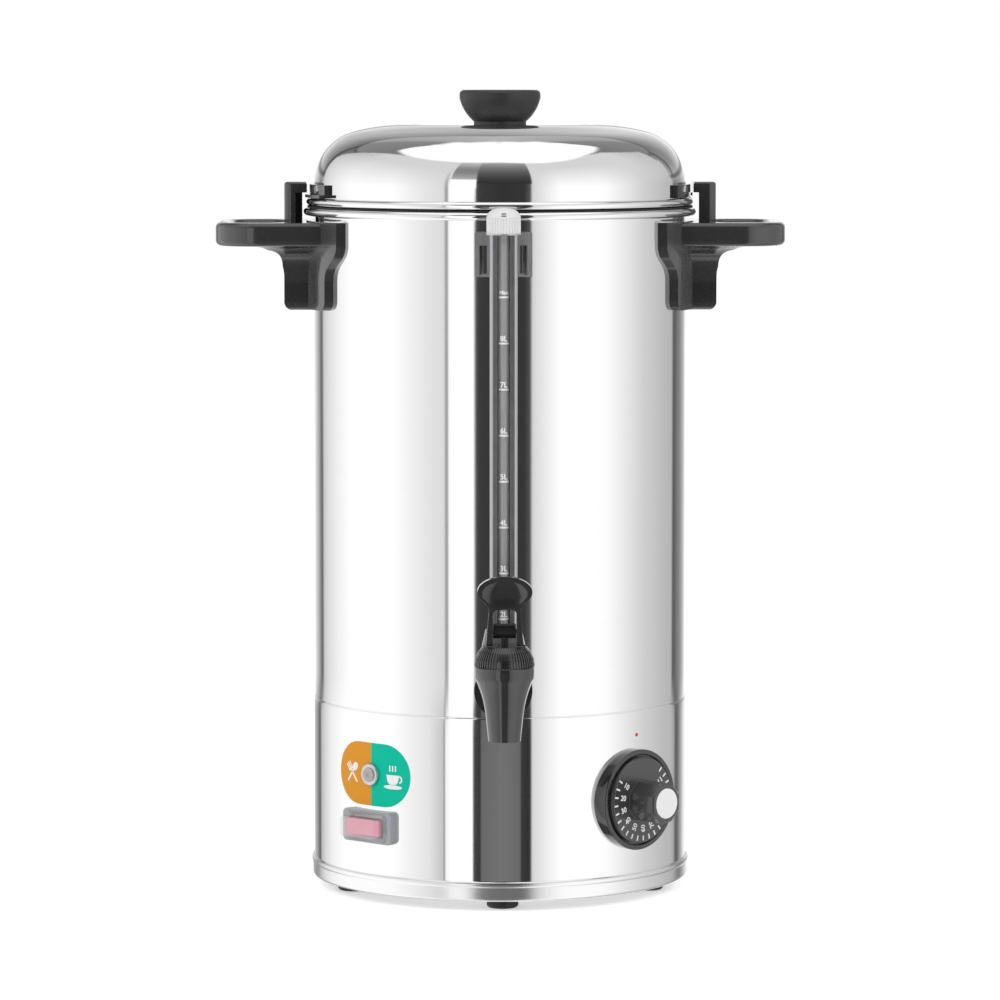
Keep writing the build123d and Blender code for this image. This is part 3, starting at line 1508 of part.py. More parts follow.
inlet_back = falls_back(housing_radius, inlet_width / 2)
with BuildPart() as inlet:
    with BuildSketch(inlet_plane.offset(inlet_front)):
        RectangleRounded(inlet_width, inlet_tall, inlet_corner)
    extrude(amount=-inlet_front - inlet_back)
    Cylinder(housing_radius, cutter, mode=Mode.SUBTRACT)
    fillet(inlet.edges().group_by(inlet_line)[-1], inlet_front / 3)
    with BuildSketch(inlet_plane.offset(inlet_front / 2)):
        Rectangle(inlet_well_width + 2 * inlet_shell, inlet_well_tall + 2 * inlet_shell)
    extrude(amount=-inlet_front / 2 - inlet_well_depth - inlet_shell)
    with BuildSketch(inlet_plane.offset(inlet_front)) as inlet_mouth:
        Rectangle(inlet_well_width, inlet_well_tall)
        chamfer(inlet_mouth.vertices().group_by(Axis.Y)[-1], inlet_well_chamfer)
    extrude(amount=-inlet_front - inlet_well_depth, mode=Mode.SUBTRACT)
    with Locations(inlet_plane.offset(inlet_front)):
        with inlet_screws_at():
            Hole(inlet_screw_radius + screw_gap, depth=inlet_front + inlet_back)
save(inlet, "inlet")

with BuildPart() as inlet_pins:
    with BuildSketch(inlet_plane.offset(inlet_front - pin_recess)):
        with Locations((-pin_spread, -pin_rise), (pin_spread, -pin_rise), (0, pin_rise)):
            Rectangle(pin_width, pin_tall)
    extrude(amount=-inlet_front - inlet_well_depth + pin_recess)
save(inlet_pins, "inlet_pins")

with BuildPart() as inlet_screws:
    with BuildSketch(inlet_plane.offset(inlet_front)):
        with inlet_screws_at():
            Circle(inlet_screw_head)
    extrude(amount=inlet_screw_head_height)
    with BuildSketch(inlet_plane.offset(inlet_front)):
        with inlet_screws_at():
            Circle(inlet_screw_radius)
    extrude(amount=-inlet_screw_depth)
save(inlet_screws, "inlet_screws")

with BuildPart() as terminal_block:
    with Locations((block_place[0], block_place[1], plate_top)):
        Box(*block_size, align=(Align.CENTER, Align.CENTER, Align.MIN))
    with BuildSketch(Plane(origin=(*block_place, plate_top + block_size[2] / 2), z_dir=(0, 1, 0))):
        with GridLocations(block_pitch, 0, block_ways, 1):
            Circle(block_hole)
    extrude(amount=block_size[1], both=True, mode=Mode.SUBTRACT)
save(terminal_block, "terminal_block")
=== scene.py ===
# %% [markdown]
# # A polished hot water urn
#
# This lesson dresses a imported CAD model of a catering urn. The CAD pieces say where everything is and how it
# moves, and this script gives each of them the surface of the real thing: spun and polished steel, glossy
# black mouldings, a glass gauge and a printed dial. Lengths are written in millimetres and multiplied by MM,
# because Blender counts in metres. An azimuth is counted in degrees from the front (-Y) towards +X.

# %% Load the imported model
import json
import math

import bmesh
import bpy
from mathutils import Matrix, Vector

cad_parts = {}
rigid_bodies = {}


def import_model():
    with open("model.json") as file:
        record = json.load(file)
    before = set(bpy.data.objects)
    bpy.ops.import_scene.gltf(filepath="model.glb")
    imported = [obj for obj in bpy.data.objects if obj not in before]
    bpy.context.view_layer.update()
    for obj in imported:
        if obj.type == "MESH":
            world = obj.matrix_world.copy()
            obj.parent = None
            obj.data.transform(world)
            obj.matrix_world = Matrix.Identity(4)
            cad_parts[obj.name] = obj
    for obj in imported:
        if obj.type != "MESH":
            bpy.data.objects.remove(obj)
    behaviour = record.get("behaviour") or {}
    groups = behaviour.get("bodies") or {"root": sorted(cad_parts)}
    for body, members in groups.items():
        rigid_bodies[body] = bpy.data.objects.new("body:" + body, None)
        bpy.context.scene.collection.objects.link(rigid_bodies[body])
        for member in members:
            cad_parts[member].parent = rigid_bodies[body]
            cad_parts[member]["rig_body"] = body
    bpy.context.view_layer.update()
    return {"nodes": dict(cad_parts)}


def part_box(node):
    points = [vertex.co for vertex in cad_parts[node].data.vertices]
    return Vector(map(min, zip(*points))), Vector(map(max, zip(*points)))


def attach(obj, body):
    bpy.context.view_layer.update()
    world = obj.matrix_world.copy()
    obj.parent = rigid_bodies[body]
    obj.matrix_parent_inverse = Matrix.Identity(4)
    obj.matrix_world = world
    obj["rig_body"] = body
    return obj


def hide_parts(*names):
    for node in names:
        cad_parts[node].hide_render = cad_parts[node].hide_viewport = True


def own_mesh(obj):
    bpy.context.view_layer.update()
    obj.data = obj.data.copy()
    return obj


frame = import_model()
nodes = frame["nodes"]
MM = 0.001

# %% [markdown]
# ## Sizes that the steel follows
#
# The spun pieces below are drawn afresh, because a mirror finish shows every facet of a coarse mesh. Their
# outlines use the same radii and heights as the solids that they stand for, read from the boxes of the CAD
# nodes where a box gives them, and written down where it doesn't.

# %% Radii and heights of the vessel, in millimetres


def low(node):
    """Lowest corner of a CAD node, in millimetres."""
    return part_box(node)[0] / MM


def high(node):
    """Highest corner of a CAD node, in millimetres."""
    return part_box(node)[1] / MM


housing_radius = high("lower_housing").x
tank_radius = housing_radius - 0.5
tank_wall = 0.8
rim_bead = 2.4
rim_radius = high("tank").x - rim_bead
rim_height = high("tank").z - rim_bead
floor_height = 117.5
floor_sheet = 1.2
seam_height = high("lower_housing").z
lid_radius = tank_radius - 0.1
lid_bead = 2.4
lid_bead_height = low("lid_shell").z + lid_bead
lid_top = high("lid_shell").z
valve_reach = 157.0
gauge_reach = 127.0
print("vessel radius", round(tank_radius, 2), "rim", round(rim_height, 2), "lid top", round(lid_top, 2))

# %% [markdown]
# The dial, the switch, the lamp and the inlet sit on a round wall. Each could have turns of its own, but one
# matrix that stands on the wall at any azimuth and height is simpler.

# %% Places on the wall


def on_wall(azimuth, height, radius):
    """A matrix whose x runs right along the wall, y up it and z straight out of it, in metres."""
    turn = math.radians(azimuth)
    right = Vector((math.cos(turn), math.sin(turn), 0))
    out = Vector((math.sin(turn), -math.cos(turn), 0))
    place = Matrix((right, (0, 0, 1), out)).transposed().to_4x4()
    place.translation = out * radius * MM + Vector((0, 0, height * MM))
    return place


dial_place = (44.0, 61.4)
switch_place = (-44.0, 45.8)
lamp_place = (-43.5, 76.4)
inlet_place = (180.0, 45.0)
red_dot_place = (45.0, 99.0)
print("dial centre", [round(v, 4) for v in on_wall(*dial_place, housing_radius).translation])

# %% [markdown]
# ## Materials
#
# Every finish is a small network: noise on Object coordinates varies the colour, the gloss and the surface a
# little, at the scale at which the real material does. What is the same all over goes on the shader's own
# sockets, so that it survives an export.

# %% A finish with noise in its colour, gloss and surface


def finish(name, colour, rough, spread=0.06, grain=600.0, bump=0.0, stretch=(1, 1, 1), tint=0.04, **constant):
    """A Principled material whose colour, roughness and surface vary with noise."""
    made = bpy.data.materials.new(name)
    made.use_nodes = True
    net = made.node_tree
    shader = net.nodes["Principled BSDF"]
    for socket, value in constant.items():
        shader.inputs[socket.replace("_", " ")].default_value = value
    where = net.nodes.new("ShaderNodeTexCoord")
    scale = net.nodes.new("ShaderNodeMapping")
    scale.inputs["Scale"].default_value = stretch
    speckle = net.nodes.new("ShaderNodeTexNoise")
    speckle.inputs["Scale"].default_value = grain
    speckle.inputs["Detail"].default_value = 4
    net.links.new(where.outputs["Object"], scale.inputs["Vector"])
    net.links.new(scale.outputs["Vector"], speckle.inputs["Vector"])
    gloss = net.nodes.new("ShaderNodeMapRange")
    gloss.inputs["To Min"].default_value = max(rough - spread, 0.02)
    gloss.inputs["To Max"].default_value = rough + spread
    net.links.new(speckle.outputs["Fac"], gloss.inputs["Value"])
    net.links.new(gloss.outputs["Result"], shader.inputs["Roughness"])
    shade = net.nodes.new("ShaderNodeMix")
    shade.data_type = "RGBA"
    shade.inputs["A"].default_value = (*(c * (1 - tint) for c in colour), 1)
    shade.inputs["B"].default_value = (*(min(c * (1 + tint), 1) for c in colour), 1)
    net.links.new(speckle.outputs["Fac"], shade.inputs["Factor"])
    net.links.new(shade.outputs["Result"], shader.inputs["Base Color"])
    if bump:
        relief = net.nodes.new("ShaderNodeBump")
        relief.inputs["Strength"].default_value = 1.0
        relief.inputs["Distance"].default_value = bump * MM
        net.links.new(speckle.outputs["Fac"], relief.inputs["Height"])
        net.links.new(relief.outputs["Normal"], shader.inputs["Normal"])
    return made


print("finish() is ready: noise drives colour, gloss and surface")

# %% [markdown]
# Polished steel is a bare metal with very little roughness. Polishing runs round the vessel, so the noise is
# stretched into faint rings: it is squeezed along Z and left long around it. The vessel's inside is duller
# and only part metal, or light would be lost between two mirrors.

# %% Steel and other metals
RINGS = (1, 1, 60)


def metal(name, colour, rough, **more):
    """A finish of bare metal."""
    return finish(name, colour, rough, Metallic=1.0, **more)


mirror_steel = metal(
    "mirror_steel", (0.93, 0.93, 0.935), 0.045, spread=0.015, grain=9, stretch=RINGS, tint=0.008
)
satin_steel = metal("satin_steel", (0.92, 0.92, 0.925), 0.22, spread=0.05, grain=12, stretch=RINGS, tint=0.02)
folded_steel = metal("folded_steel", (0.50, 0.50, 0.51), 0.34, grain=160, tint=0.03)
strap_steel = metal("strap_steel", (0.60, 0.60, 0.61), 0.42, grain=200, tint=0.03)
plated_steel = metal("plated_steel", (0.62, 0.62, 0.63), 0.30, spread=0.08, grain=900, bump=0.01)
sheath_steel = metal("sheath_steel", (0.30, 0.28, 0.26), 0.45, spread=0.10, grain=300, bump=0.02)
cast_aluminium = metal("cast_aluminium", (0.70, 0.70, 0.71), 0.48, spread=0.08, grain=500, bump=0.05)
drawn_copper = metal("drawn_copper", (0.80, 0.42, 0.28), 0.28, spread=0.08, grain=400)
nickel_brass = metal("nickel_brass", (0.78, 0.70, 0.50), 0.25, grain=700)
inner_steel = finish(
    "inner_steel", (0.78, 0.78, 0.785), 0.38, grain=40, stretch=(1, 1, 12), tint=0.03,
    Metallic=0.5,
)
print("metals:", [made.name for made in bpy.data.materials if made.name.endswith("steel")])

# %% [markdown]
# The black parts are glass-filled nylon and phenolic: nearly black, glossy, with a very faint orange peel in
# the gloss. A coat gives the second, sharper highlight of moulded plastic. Rubber is as dark but dull.

# %% Plastics and rubber
black_moulding = finish(
    "black_moulding", (0.030, 0.030, 0.031), 0.26, spread=0.05, grain=240, bump=0.012, tint=0.12,
    Coat_Weight=1.0, Coat_Roughness=0.08,
)
tap_moulding = finish(
    "tap_moulding", (0.020, 0.020, 0.021), 0.20, spread=0.05, grain=300, bump=0.010, tint=0.12,
    Coat_Weight=1.0, Coat_Roughness=0.06,
)
dial_moulding = finish(
    "dial_moulding", (0.050, 0.050, 0.051), 0.30, grain=700, bump=0.012, tint=0.12,
    Coat_Weight=0.8, Coat_Roughness=0.1,
)
knob_moulding = finish("knob_moulding", (0.030, 0.030, 0.031), 0.40, grain=700, bump=0.03, tint=0.15)
dark_moulding = finish("dark_moulding", (0.024, 0.024, 0.025), 0.34, grain=900, bump=0.02, tint=0.15)
grey_moulding = finish("grey_moulding", (0.40, 0.41, 0.44), 0.26, grain=900, bump=0.01)
white_moulding = finish(
    "white_moulding", (0.96, 0.96, 0.96), 0.24, spread=0.05, grain=600, bump=0.008, tint=0.01
)
black_rubber = finish(
    "black_rubber", (0.016, 0.016, 0.017), 0.55, spread=0.08, grain=1200, bump=0.03, tint=0.2
)
white_rubber = finish("white_rubber", (0.78, 0.78, 0.76), 0.50, spread=0.08, grain=900, bump=0.02)
pink_moulding = finish(
    "pink_moulding", (1.0, 0.28, 0.42), 0.18, spread=0.05, grain=300, tint=0.08,
    Subsurface_Weight=0.3, Subsurface_Scale=0.004,
)
print("made", len(bpy.data.materials), "materials so far")

# %% [markdown]
# The gauge is glass, so it transmits, but only about three quarters of it: the rest is diffuse white, a
# painted brightness in place of the light that the tube lets through from behind. The switch's boot is a thin
# clear skin, and alpha shows the rocker under it without the dark that solid glass would throw. Inks are dull,
# to keep their colour beside steel.

# %% Clear pieces and inks
# Glass that transmits, with a quarter of diffuse white: painted brightness for the light seen through the tube
glass_painted_bright = finish(
    "glass_painted_bright", (0.94, 0.94, 0.95), 0.04, spread=0.01, grain=30, tint=0.0,
    Transmission_Weight=0.76, IOR=1.5,
)
clear_boot = finish(
    "clear_boot", (0.97, 0.97, 0.98), 0.14, grain=260, tint=0.02, Alpha=0.17, Coat_Weight=0.5
)
frosted_cap = finish(
    "frosted_cap", (0.98, 0.98, 0.985), 0.18, spread=0.08, grain=500, bump=0.01, tint=0.02,
    Transmission_Weight=0.15, IOR=1.49,
)
lamp_glass = finish(
    "lamp_glass", (0.72, 0.68, 0.70), 0.08, spread=0.03, grain=200, tint=0.06,
    Transmission_Weight=0.35, IOR=1.49,
)


def ink(name, colour, rough=0.45, grain=500, tint=0.03, **more):
    """A printed colour."""
    return finish(name, colour, rough, spread=0.05, grain=grain, tint=tint, **more)


white_print = ink("white_print", (0.98, 0.98, 0.98), grain=900, tint=0.02)
orange_print = ink("orange_print", (0.83, 0.345, 0.028), Specular_IOR_Level=0.12)
green_print = ink("green_print", (0.0, 0.58, 0.39), Specular_IOR_Level=0.12)
red_print = ink("red_print", (0.75, 0.03, 0.02), rough=0.35, grain=900, tint=0.05)
print("made", len(bpy.data.materials), "materials")

# %% [markdown]
# ## Helpers for meshes
#
# A finished piece has its object at the origin and its place in its mesh, rides on the body that carries it,
# and hides the CAD nodes that it stands for.

# %% Put a mesh in the scene, and let it ride
CREASE = math.radians(32)


def placed(name, data):
    """A new object in the scene."""
    thing = bpy.data.objects.new(name, data)
    bpy.context.scene.collection.objects.link(thing)
    return thing


def poured(form, name):
    """A mesh made from a finished form."""
    mesh = bpy.data.meshes.new(name)
    form.to_mesh(mesh)
    form.free()
    return mesh


def baked(thing):
    """The mesh that an object's modifiers or letters make."""
    graph = bpy.context.evaluated_depsgraph_get()
    return bpy.data.meshes.new_from_object(thing.evaluated_get(graph), depsgraph=graph)


def piece_of(name, mesh, material, body="urn", stands_for=(), crease=CREASE):
    """A smooth-shaded object made from a mesh, which rides on a body and may replace CAD nodes."""
    piece = placed(name, mesh)
    mesh.materials.clear()
    mesh.materials.append(material)
    mesh.polygons.foreach_set("use_smooth", [True] * len(mesh.polygons))
    mesh.set_sharp_from_angle(angle=crease)
    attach(piece, body)
    if stands_for:
        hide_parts(*stands_for)
    print(name, "has", len(mesh.polygons), "faces")
    return piece


def applied(piece):
    """Turn an object with modifiers into one with a plain mesh."""
    mesh = baked(piece)
    piece.modifiers.clear()
    piece.data = mesh


def closed(form, foot, head):
    """Sides and two ends between two rings of corners."""
    for i in range(len(foot)):
        j = (i + 1) % len(foot)
        form.faces.new([foot[i], foot[j], head[j], head[i]])
    form.faces.new(head)
    form.faces.new(list(reversed(foot)))


def gathered(name, meshes):
    """One mesh from several."""
    form = bmesh.new()
    for mesh in meshes:
        form.from_mesh(mesh)
    return poured(form, name)


print("edges turn sharp past", round(math.degrees(CREASE)), "degrees")

# %% [markdown]
# ## Spinning
#
# A spun shell is an outline turned round an axis. `spun` makes the mesh ring by ring. Outlines are lists of
# (radius, height) points, and `arc` adds the round stretches. A long straight run gets a row close to each
# of its ends, so that the shading of the bend beside it doesn't bleed along the wall.

# %% Outlines and the lathe
TURNS = 288
POLE = 1e-6
HOLD = 0.35


def arc(centre, radius, start, end, count=12):
    """Points on an arc, with its angles in degrees from the horizontal."""
    angles = [math.radians(start + (end - start) * i / count) for i in range(count + 1)]
    return [(centre[0] + radius * math.cos(a), centre[1] + radius * math.sin(a)) for a in angles]


def held(outline):
    """The outline with an extra point just inside each end of its long straight runs."""
    points = [Vector(outline[0])]
    for here, there in zip(outline, outline[1:]):
        run = Vector(there) - Vector(here)
        if run.length > 8 * HOLD:
            step = run.normalized() * HOLD
            points += [Vector(here) + step, Vector(there) - step]
        points.append(Vector(there))
    return points


def spun(name, outline, turns=TURNS):
    """A mesh made by turning an outline once round the upright axis."""
    form = bmesh.new()
    rings = []
    for radius, height in held(outline):
        if radius < POLE:
            rings.append([form.verts.new((0, 0, height * MM))])
            continue
        ring = []
        for i in range(turns):
            turn = 2 * math.pi * i / turns
            x, y = radius * math.sin(turn), -radius * math.cos(turn)
            ring.append(form.verts.new((x * MM, y * MM, height * MM)))
        rings.append(ring)
    for lower, upper in zip(rings, rings[1:]):
        for i in range(turns):
            around = ((lower, i), (lower, i + 1), (upper, i + 1), (upper, i))
            corners = list(dict.fromkeys(ring[j % len(ring)] for ring, j in around))
            if len(corners) > 2:
                form.faces.new(corners)
    bmesh.ops.remove_doubles(form, verts=form.verts, dist=POLE)
    bmesh.ops.recalc_face_normals(form, faces=form.faces)
    return poured(form, name)


print("the lathe turns an outline in", TURNS, "steps")

# %% [markdown]
# ## The vessel
#
# The vessel is one sheet: a floor, a wall and a rolled rim. The lower end steps in and plugs into the
# housing. It is drawn as a closed outline, out along the underside and back along the inside.

# %% Vessel
inner = tank_radius - tank_wall
spigot_out = housing_radius - 0.7
spigot_low = seam_height - 9.0
floor_low = floor_height - floor_sheet
flange_low = rim_height - tank_wall / 2
flange_high = rim_height + tank_wall / 2
floor_corner = 1.5
seam_gap = 0.3
bead_open = math.degrees(math.asin(tank_wall / 2 / rim_bead))
vessel_outline = [
    (0, floor_low),
    (spigot_out - tank_wall, floor_low),
    (spigot_out - tank_wall, spigot_low),
    (spigot_out, spigot_low),
    (spigot_out, seam_height + seam_gap),
    (tank_radius - seam_gap, seam_height + seam_gap),
    (tank_radius, seam_height + 2 * seam_gap),
    (tank_radius, flange_low),
    *arc((rim_radius, rim_height), rim_bead, 180 + bead_open, 540 - bead_open, 28),
    (inner + tank_wall, flange_high),
    *arc((inner + tank_wall, flange_high - tank_wall), tank_wall, 90, 180, 4),
    *arc((inner - floor_corner, floor_height + floor_corner), floor_corner, 0, -90, 5),
    (0, floor_height),
    (0, floor_low),
]
vessel = spun("vessel", vessel_outline)
vessel = piece_of("vessel", vessel, mirror_steel, stands_for=["tank"])
vessel.data.materials.append(inner_steel)
slack = 0.05
for face in vessel.data.polygons:
    reach = math.hypot(face.center.x, face.center.y) / MM
    if reach < inner + slack and floor_height - slack < face.center.z / MM < flange_high:
        face.material_index = 1
print("faces of dull steel:", sum(face.material_index for face in vessel.data.polygons))

# %% [markdown]
# ## The housing
#
# The housing is a plain tube with windows for the switch, the lamp, the dial's shaft and the inlet. The
# windows are cut by Boolean, each with a simple cutter that stands on the wall.

# %% Housing with its windows
housing_wall = 0.7
plate_top = low("lower_housing").z
housing_rows = [plate_top, 28, 33, 38, 45.8, 54, 58, 65, 71, 76.4, 82, 88, seam_height - 0.5]
housing_outline = [
    *[(housing_radius, row) for row in housing_rows],
    (housing_radius - 0.25, seam_height),
    (housing_radius - housing_wall, seam_height),
    *[(housing_radius - housing_wall, row) for row in reversed(housing_rows[:-1])],
    (housing_radius, plate_top),
]
cutter_depths = (-8, 4)


def cut(piece, cutters):
    """Cut a list of (width, height, place, corners) windows through a sheet."""
    form = bmesh.new()
    for width, tall, place, corners in cutters:
        rings = []
        for depth in cutter_depths:
            ring = []
            for i in range(corners):
                turn = 2 * math.pi * (i + 0.5) / corners
                reach = 1 / max(abs(math.cos(turn)), abs(math.sin(turn))) if corners == 4 else 1
                spot = (math.cos(turn) * reach * width / 2, math.sin(turn) * reach * tall / 2, depth)
                ring.append(form.verts.new(place @ (Vector(spot) * MM)))
            rings.append(ring)
        closed(form, *rings)
    bmesh.ops.recalc_face_normals(form, faces=form.faces)
    tool = placed("cutter", poured(form, "cutter"))
    saw = piece.modifiers.new("windows", "BOOLEAN")
    saw.operation, saw.solver, saw.object = "DIFFERENCE", "EXACT", tool
    applied(piece)
    bpy.data.objects.remove(tool)
    piece.data.set_sharp_from_angle(angle=CREASE)


housing = piece_of(
    "housing", spun("housing", housing_outline), mirror_steel, stands_for=["lower_housing"]
)
windows = (
    (30.5, 14.1, switch_place, 4),
    (29.2, 21.5, inlet_place, 4),
    (10.0, 10.0, lamp_place, 32),
    (10.0, 10.0, dial_place, 32),
)
cut(housing, [(wide, tall, on_wall(*place, housing_radius), sides) for wide, tall, place, sides in windows])
print("housing", len(housing.data.polygons), "faces")

# %% [markdown]
# ## Base ring and lid
#
# The base ring is a pressed band with a round lower edge and a rolled upper bead, of satin steel.

# %% Base ring
ring_low = low("base_ring").z
ring_top = high("base_ring").z
ring_turn_in = 8.0
band_radius = housing_radius + 1.0
ring_wall = 0.8
ring_fit = 0.05
ring_round = 2.0
ring_bead_low = ring_top - 3.4
bead_half = (ring_top - ring_bead_low) / 2
bead_bulge = 0.7
bead_radius = (bead_half**2 + bead_bulge**2) / (2 * bead_bulge)
bead_centre = (band_radius + bead_bulge - bead_radius, ring_top - bead_half)
bead_angle = math.degrees(math.asin(bead_half / bead_radius))
ring_outline = [
    (housing_radius - ring_turn_in, ring_low),
    *arc((band_radius - ring_round, ring_low + ring_round), ring_round, -90, 0, 8),
    *arc(bead_centre, bead_radius, -bead_angle, bead_angle, 10),
    (housing_radius + ring_fit, ring_top),
    (housing_radius + ring_fit, ring_low + ring_wall),
    (housing_radius - ring_turn_in, ring_low + ring_wall),
    (housing_radius - ring_turn_in, ring_low),
]
band = spun("base_band", ring_outline)
piece_of("base_band", band, satin_steel, stands_for=["base_ring"])

# %% [markdown]
# The lid is a tall pan turned over: a bead, a short wall, a round shoulder and a shallow crown, with two
# steam holes. Shoulder and crown are arcs that meet with one slope, so reflections run on without a kink.

# %% Lid
lid_wall = 0.8
lid_bead_radius = lid_radius + 2.3
lid_side_top = lid_bead_height + 10.5
shoulder = 32.0
crown = 122.0
crown_slope = 15.0
lean = math.radians(crown_slope)
crown_start = (lid_radius - shoulder + shoulder * math.sin(lean), lid_side_top + shoulder * math.cos(lean))
crown_centre = (crown_start[0] - crown * math.sin(lean), crown_start[1] - crown * math.cos(lean))


def lid_side(inset):
    """The lid's section from the wall to the pole, a sheet's thickness inside or on the outside."""
    return [
        (lid_radius - inset, lid_side_top),
        *arc((lid_radius - shoulder, lid_side_top), shoulder - inset, 0, 90 - crown_slope, 30)[1:],
        *arc(crown_centre, crown - inset, 90 - crown_slope, 90, 14)[1:],
        (0, crown_centre[1] + crown - inset),
    ]


bead = arc((lid_bead_radius, lid_bead_height), lid_bead, 170, -170, 28)
lid_outline = [
    *bead,
    (lid_radius - lid_wall, lid_bead_height - lid_wall / 2),
    *lid_side(lid_wall),
    *reversed(lid_side(0)),
    (lid_radius, lid_bead_height + lid_bead),
    bead[0],
]
lid = piece_of(
    "lid_dome", spun("lid_dome", lid_outline), mirror_steel, "lid", stands_for=["lid_shell"]
)
vent_out = 50.0
vent_size = 6.0
vents = [Matrix.Translation((side * vent_out * MM, 0, lid_top * MM)) for side in (-1, 1)]
cut(lid, [(vent_size, vent_size, vent, 32) for vent in vents])
print("lid with vents", len(lid.data.polygons), "faces, flat out to", round(crown_centre[0], 1), "mm")

# %% [markdown]
# ## Moulded pieces
#
# The handles, the tap and the dial keep their CAD shape. A copy of the solid's mesh is welded, its flat
# facets are merged, and a small bevel rounds every sharp edge, as a mould does, so that each edge catches a
# thin line of light.

# %% Rounded copies of CAD pieces
WELD = 2e-6
FLAT = math.radians(1.0)


def moulded(node, name, material, edge=0.5):
    """A welded, bevelled copy of a CAD node that stands for it and rides where it rides."""
    source = nodes[node]
    form = bmesh.new()
    form.from_mesh(source.data)
    bmesh.ops.remove_doubles(form, verts=form.verts, dist=WELD)
    bmesh.ops.dissolve_degenerate(form, edges=form.edges, dist=WELD)
    bmesh.ops.dissolve_limit(form, angle_limit=FLAT, verts=form.verts, edges=form.edges)
    mesh = poured(form, name)
    for layer in [a.name for a in mesh.attributes if a.name == "custom_normal"]:
        mesh.attributes.remove(mesh.attributes[layer])
    piece = piece_of(name, mesh, material, body=source["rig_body"], stands_for=[node])
    if edge:
        bevel = piece.modifiers.new("rounded edges", "BEVEL")
        bevel.width = edge * MM
        bevel.segments = 3
        bevel.limit_method = "ANGLE"
        bevel.angle_limit = CREASE
        bevel.harden_normals = True
        bevel.use_clamp_overlap = True
        applied(piece)
    return piece


for node, material, edge in (
    ("handle_left", black_moulding, 0.8),
    ("handle_right", black_moulding, 0.8),
    ("tap_body", tap_moulding, 0.4),
    ("tap_lever", tap_moulding, 0.6),
    ("dial_bezel", tap_moulding, 0.0),
    ("dial_knob", dial_moulding, 0.35),
    ("lid_knob", knob_moulding, 0.0),
    ("lid_lock_left", black_moulding, 0.4),
    ("lid_lock_right", black_moulding, 0.4),
    ("tap_stem", dark_moulding, 0.3),
    ("inlet", dark_moulding, 0.4),
    ("switch_body", grey_moulding, 0.4),
    ("switch_rocker", pink_moulding, 0.5),
    ("dial_cap", white_moulding, 0.0),
    ("gauge_bracket", strap_steel, 0.12),
    ("gauge_guard", folded_steel, 0.12),
    ("feet", black_rubber, 0.3),
    ("lamp_bezel", plated_steel, 0.0),
):
    moulded(node, node + "_skin", material, edge=edge)

# %% [markdown]
# ## Valve spring
#
# The spring under the bonnet presses the seat cup down. When the lever lifts the stem, the spring has to get
# shorter by the same lift, which a rigid piece can't do. Here it is a plain copy of the CAD spring in plated
# steel, with a mesh of its own.

# %% The spring, with a mesh of its own
spring = moulded("tap_spring", "valve_spring", plated_steel, edge=0)
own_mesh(spring)

# %% [markdown]
# ## What repeats: marks grown by Geometry Nodes
#
# The gauge's marks, the dial's strokes and the bonnet's ribs are rows of one small bar. A tree of nodes makes
# the bar once and puts it on points. Sizes are its named inputs, so one tree serves strokes and ribs alike.

# %% A tree, and how to grow a mesh from it


def tree(name, sizes, material):
    """A node group with named inputs. Returns it, its makers of nodes and sums, its inputs and its end."""
    group = bpy.data.node_groups.new(name, "GeometryNodeTree")
    group.interface.new_socket("Geometry", in_out="OUTPUT", socket_type="NodeSocketGeometry")
    for size, kind in sizes.items():
        group.interface.new_socket(size, in_out="INPUT", socket_type="NodeSocket" + kind)
    sizes_in = group.nodes.new("NodeGroupInput").outputs

    def add(kind, *values, **settings):
        node = group.nodes.new(kind)
        for setting, value in settings.items():
            setattr(node, setting, value)
        for i, value in enumerate(values):
            if isinstance(value, bpy.types.NodeSocket):
                group.links.new(value, node.inputs[i])
            elif value is not None:
                node.inputs[i].default_value = value
        return node.outputs[0]

    def calc(operation, *values):
        return add("ShaderNodeMath", *values, operation=operation)

    def end(bar, points, turn=None):
        made = add("GeometryNodeInstanceOnPoints", points, None, bar, None, None, turn)
        made = add("GeometryNodeRealizeInstances", made)
        made = add("GeometryNodeSetMaterial", made, None, material)
        group.links.new(made, group.nodes.new("NodeGroupOutput").inputs[0])

    return group, add, calc, sizes_in, end


def grown(name, group, **sizes):
    """The mesh that a tree grows, with its inputs set by their identifiers."""
    seed = placed(name, bpy.data.meshes.new(name))
    grower = seed.modifiers.new("growth", "NODES")
    grower.node_group = group
    for item in group.interface.items_tree:
        if item.name in sizes:
            grower[item.identifier] = sizes[item.name]
    mesh = baked(seed)
    bpy.data.objects.remove(seed)
    print(name, len(mesh.polygons), "faces")
    return mesh


ROW_SIZES = {"Count": "Int", "Radius": "Float", "First": "Float", "Step": "Float", "Bar": "Vector"}
print("a row of bars has", len(ROW_SIZES), "sizes")

# %% [markdown]
# The first tree stands its bars on a circle. An angle that grows with the index gives each point its place
# and its turn. Lean tips the bars towards the middle, as a dome's wall leans.

# %% Bars round a circle


def ring_tree(name, material):
    """Bars on a circle about Z, each with its second side along the radius."""
    group, add, calc, sizes, end = tree(name, ROW_SIZES | {"Lean": "Float", "Rise": "Float"}, material)
    angle = calc("MULTIPLY_ADD", add("GeometryNodeInputIndex"), sizes["Step"], sizes["First"])
    across = calc("MULTIPLY", calc("SINE", angle), sizes["Radius"])
    along = calc("MULTIPLY", calc("COSINE", angle), sizes["Radius"])
    spot = add("ShaderNodeCombineXYZ", across, along, sizes["Rise"])
    points = add("GeometryNodePoints", sizes["Count"], spot)
    turns = add("ShaderNodeCombineXYZ", sizes["Lean"], None, calc("MULTIPLY", angle, -1.0))
    turn = add("FunctionNodeEulerToRotation", turns)
    end(add("GeometryNodeMeshCube", sizes["Bar"], 2, 2, 2), points, turn)
    return group


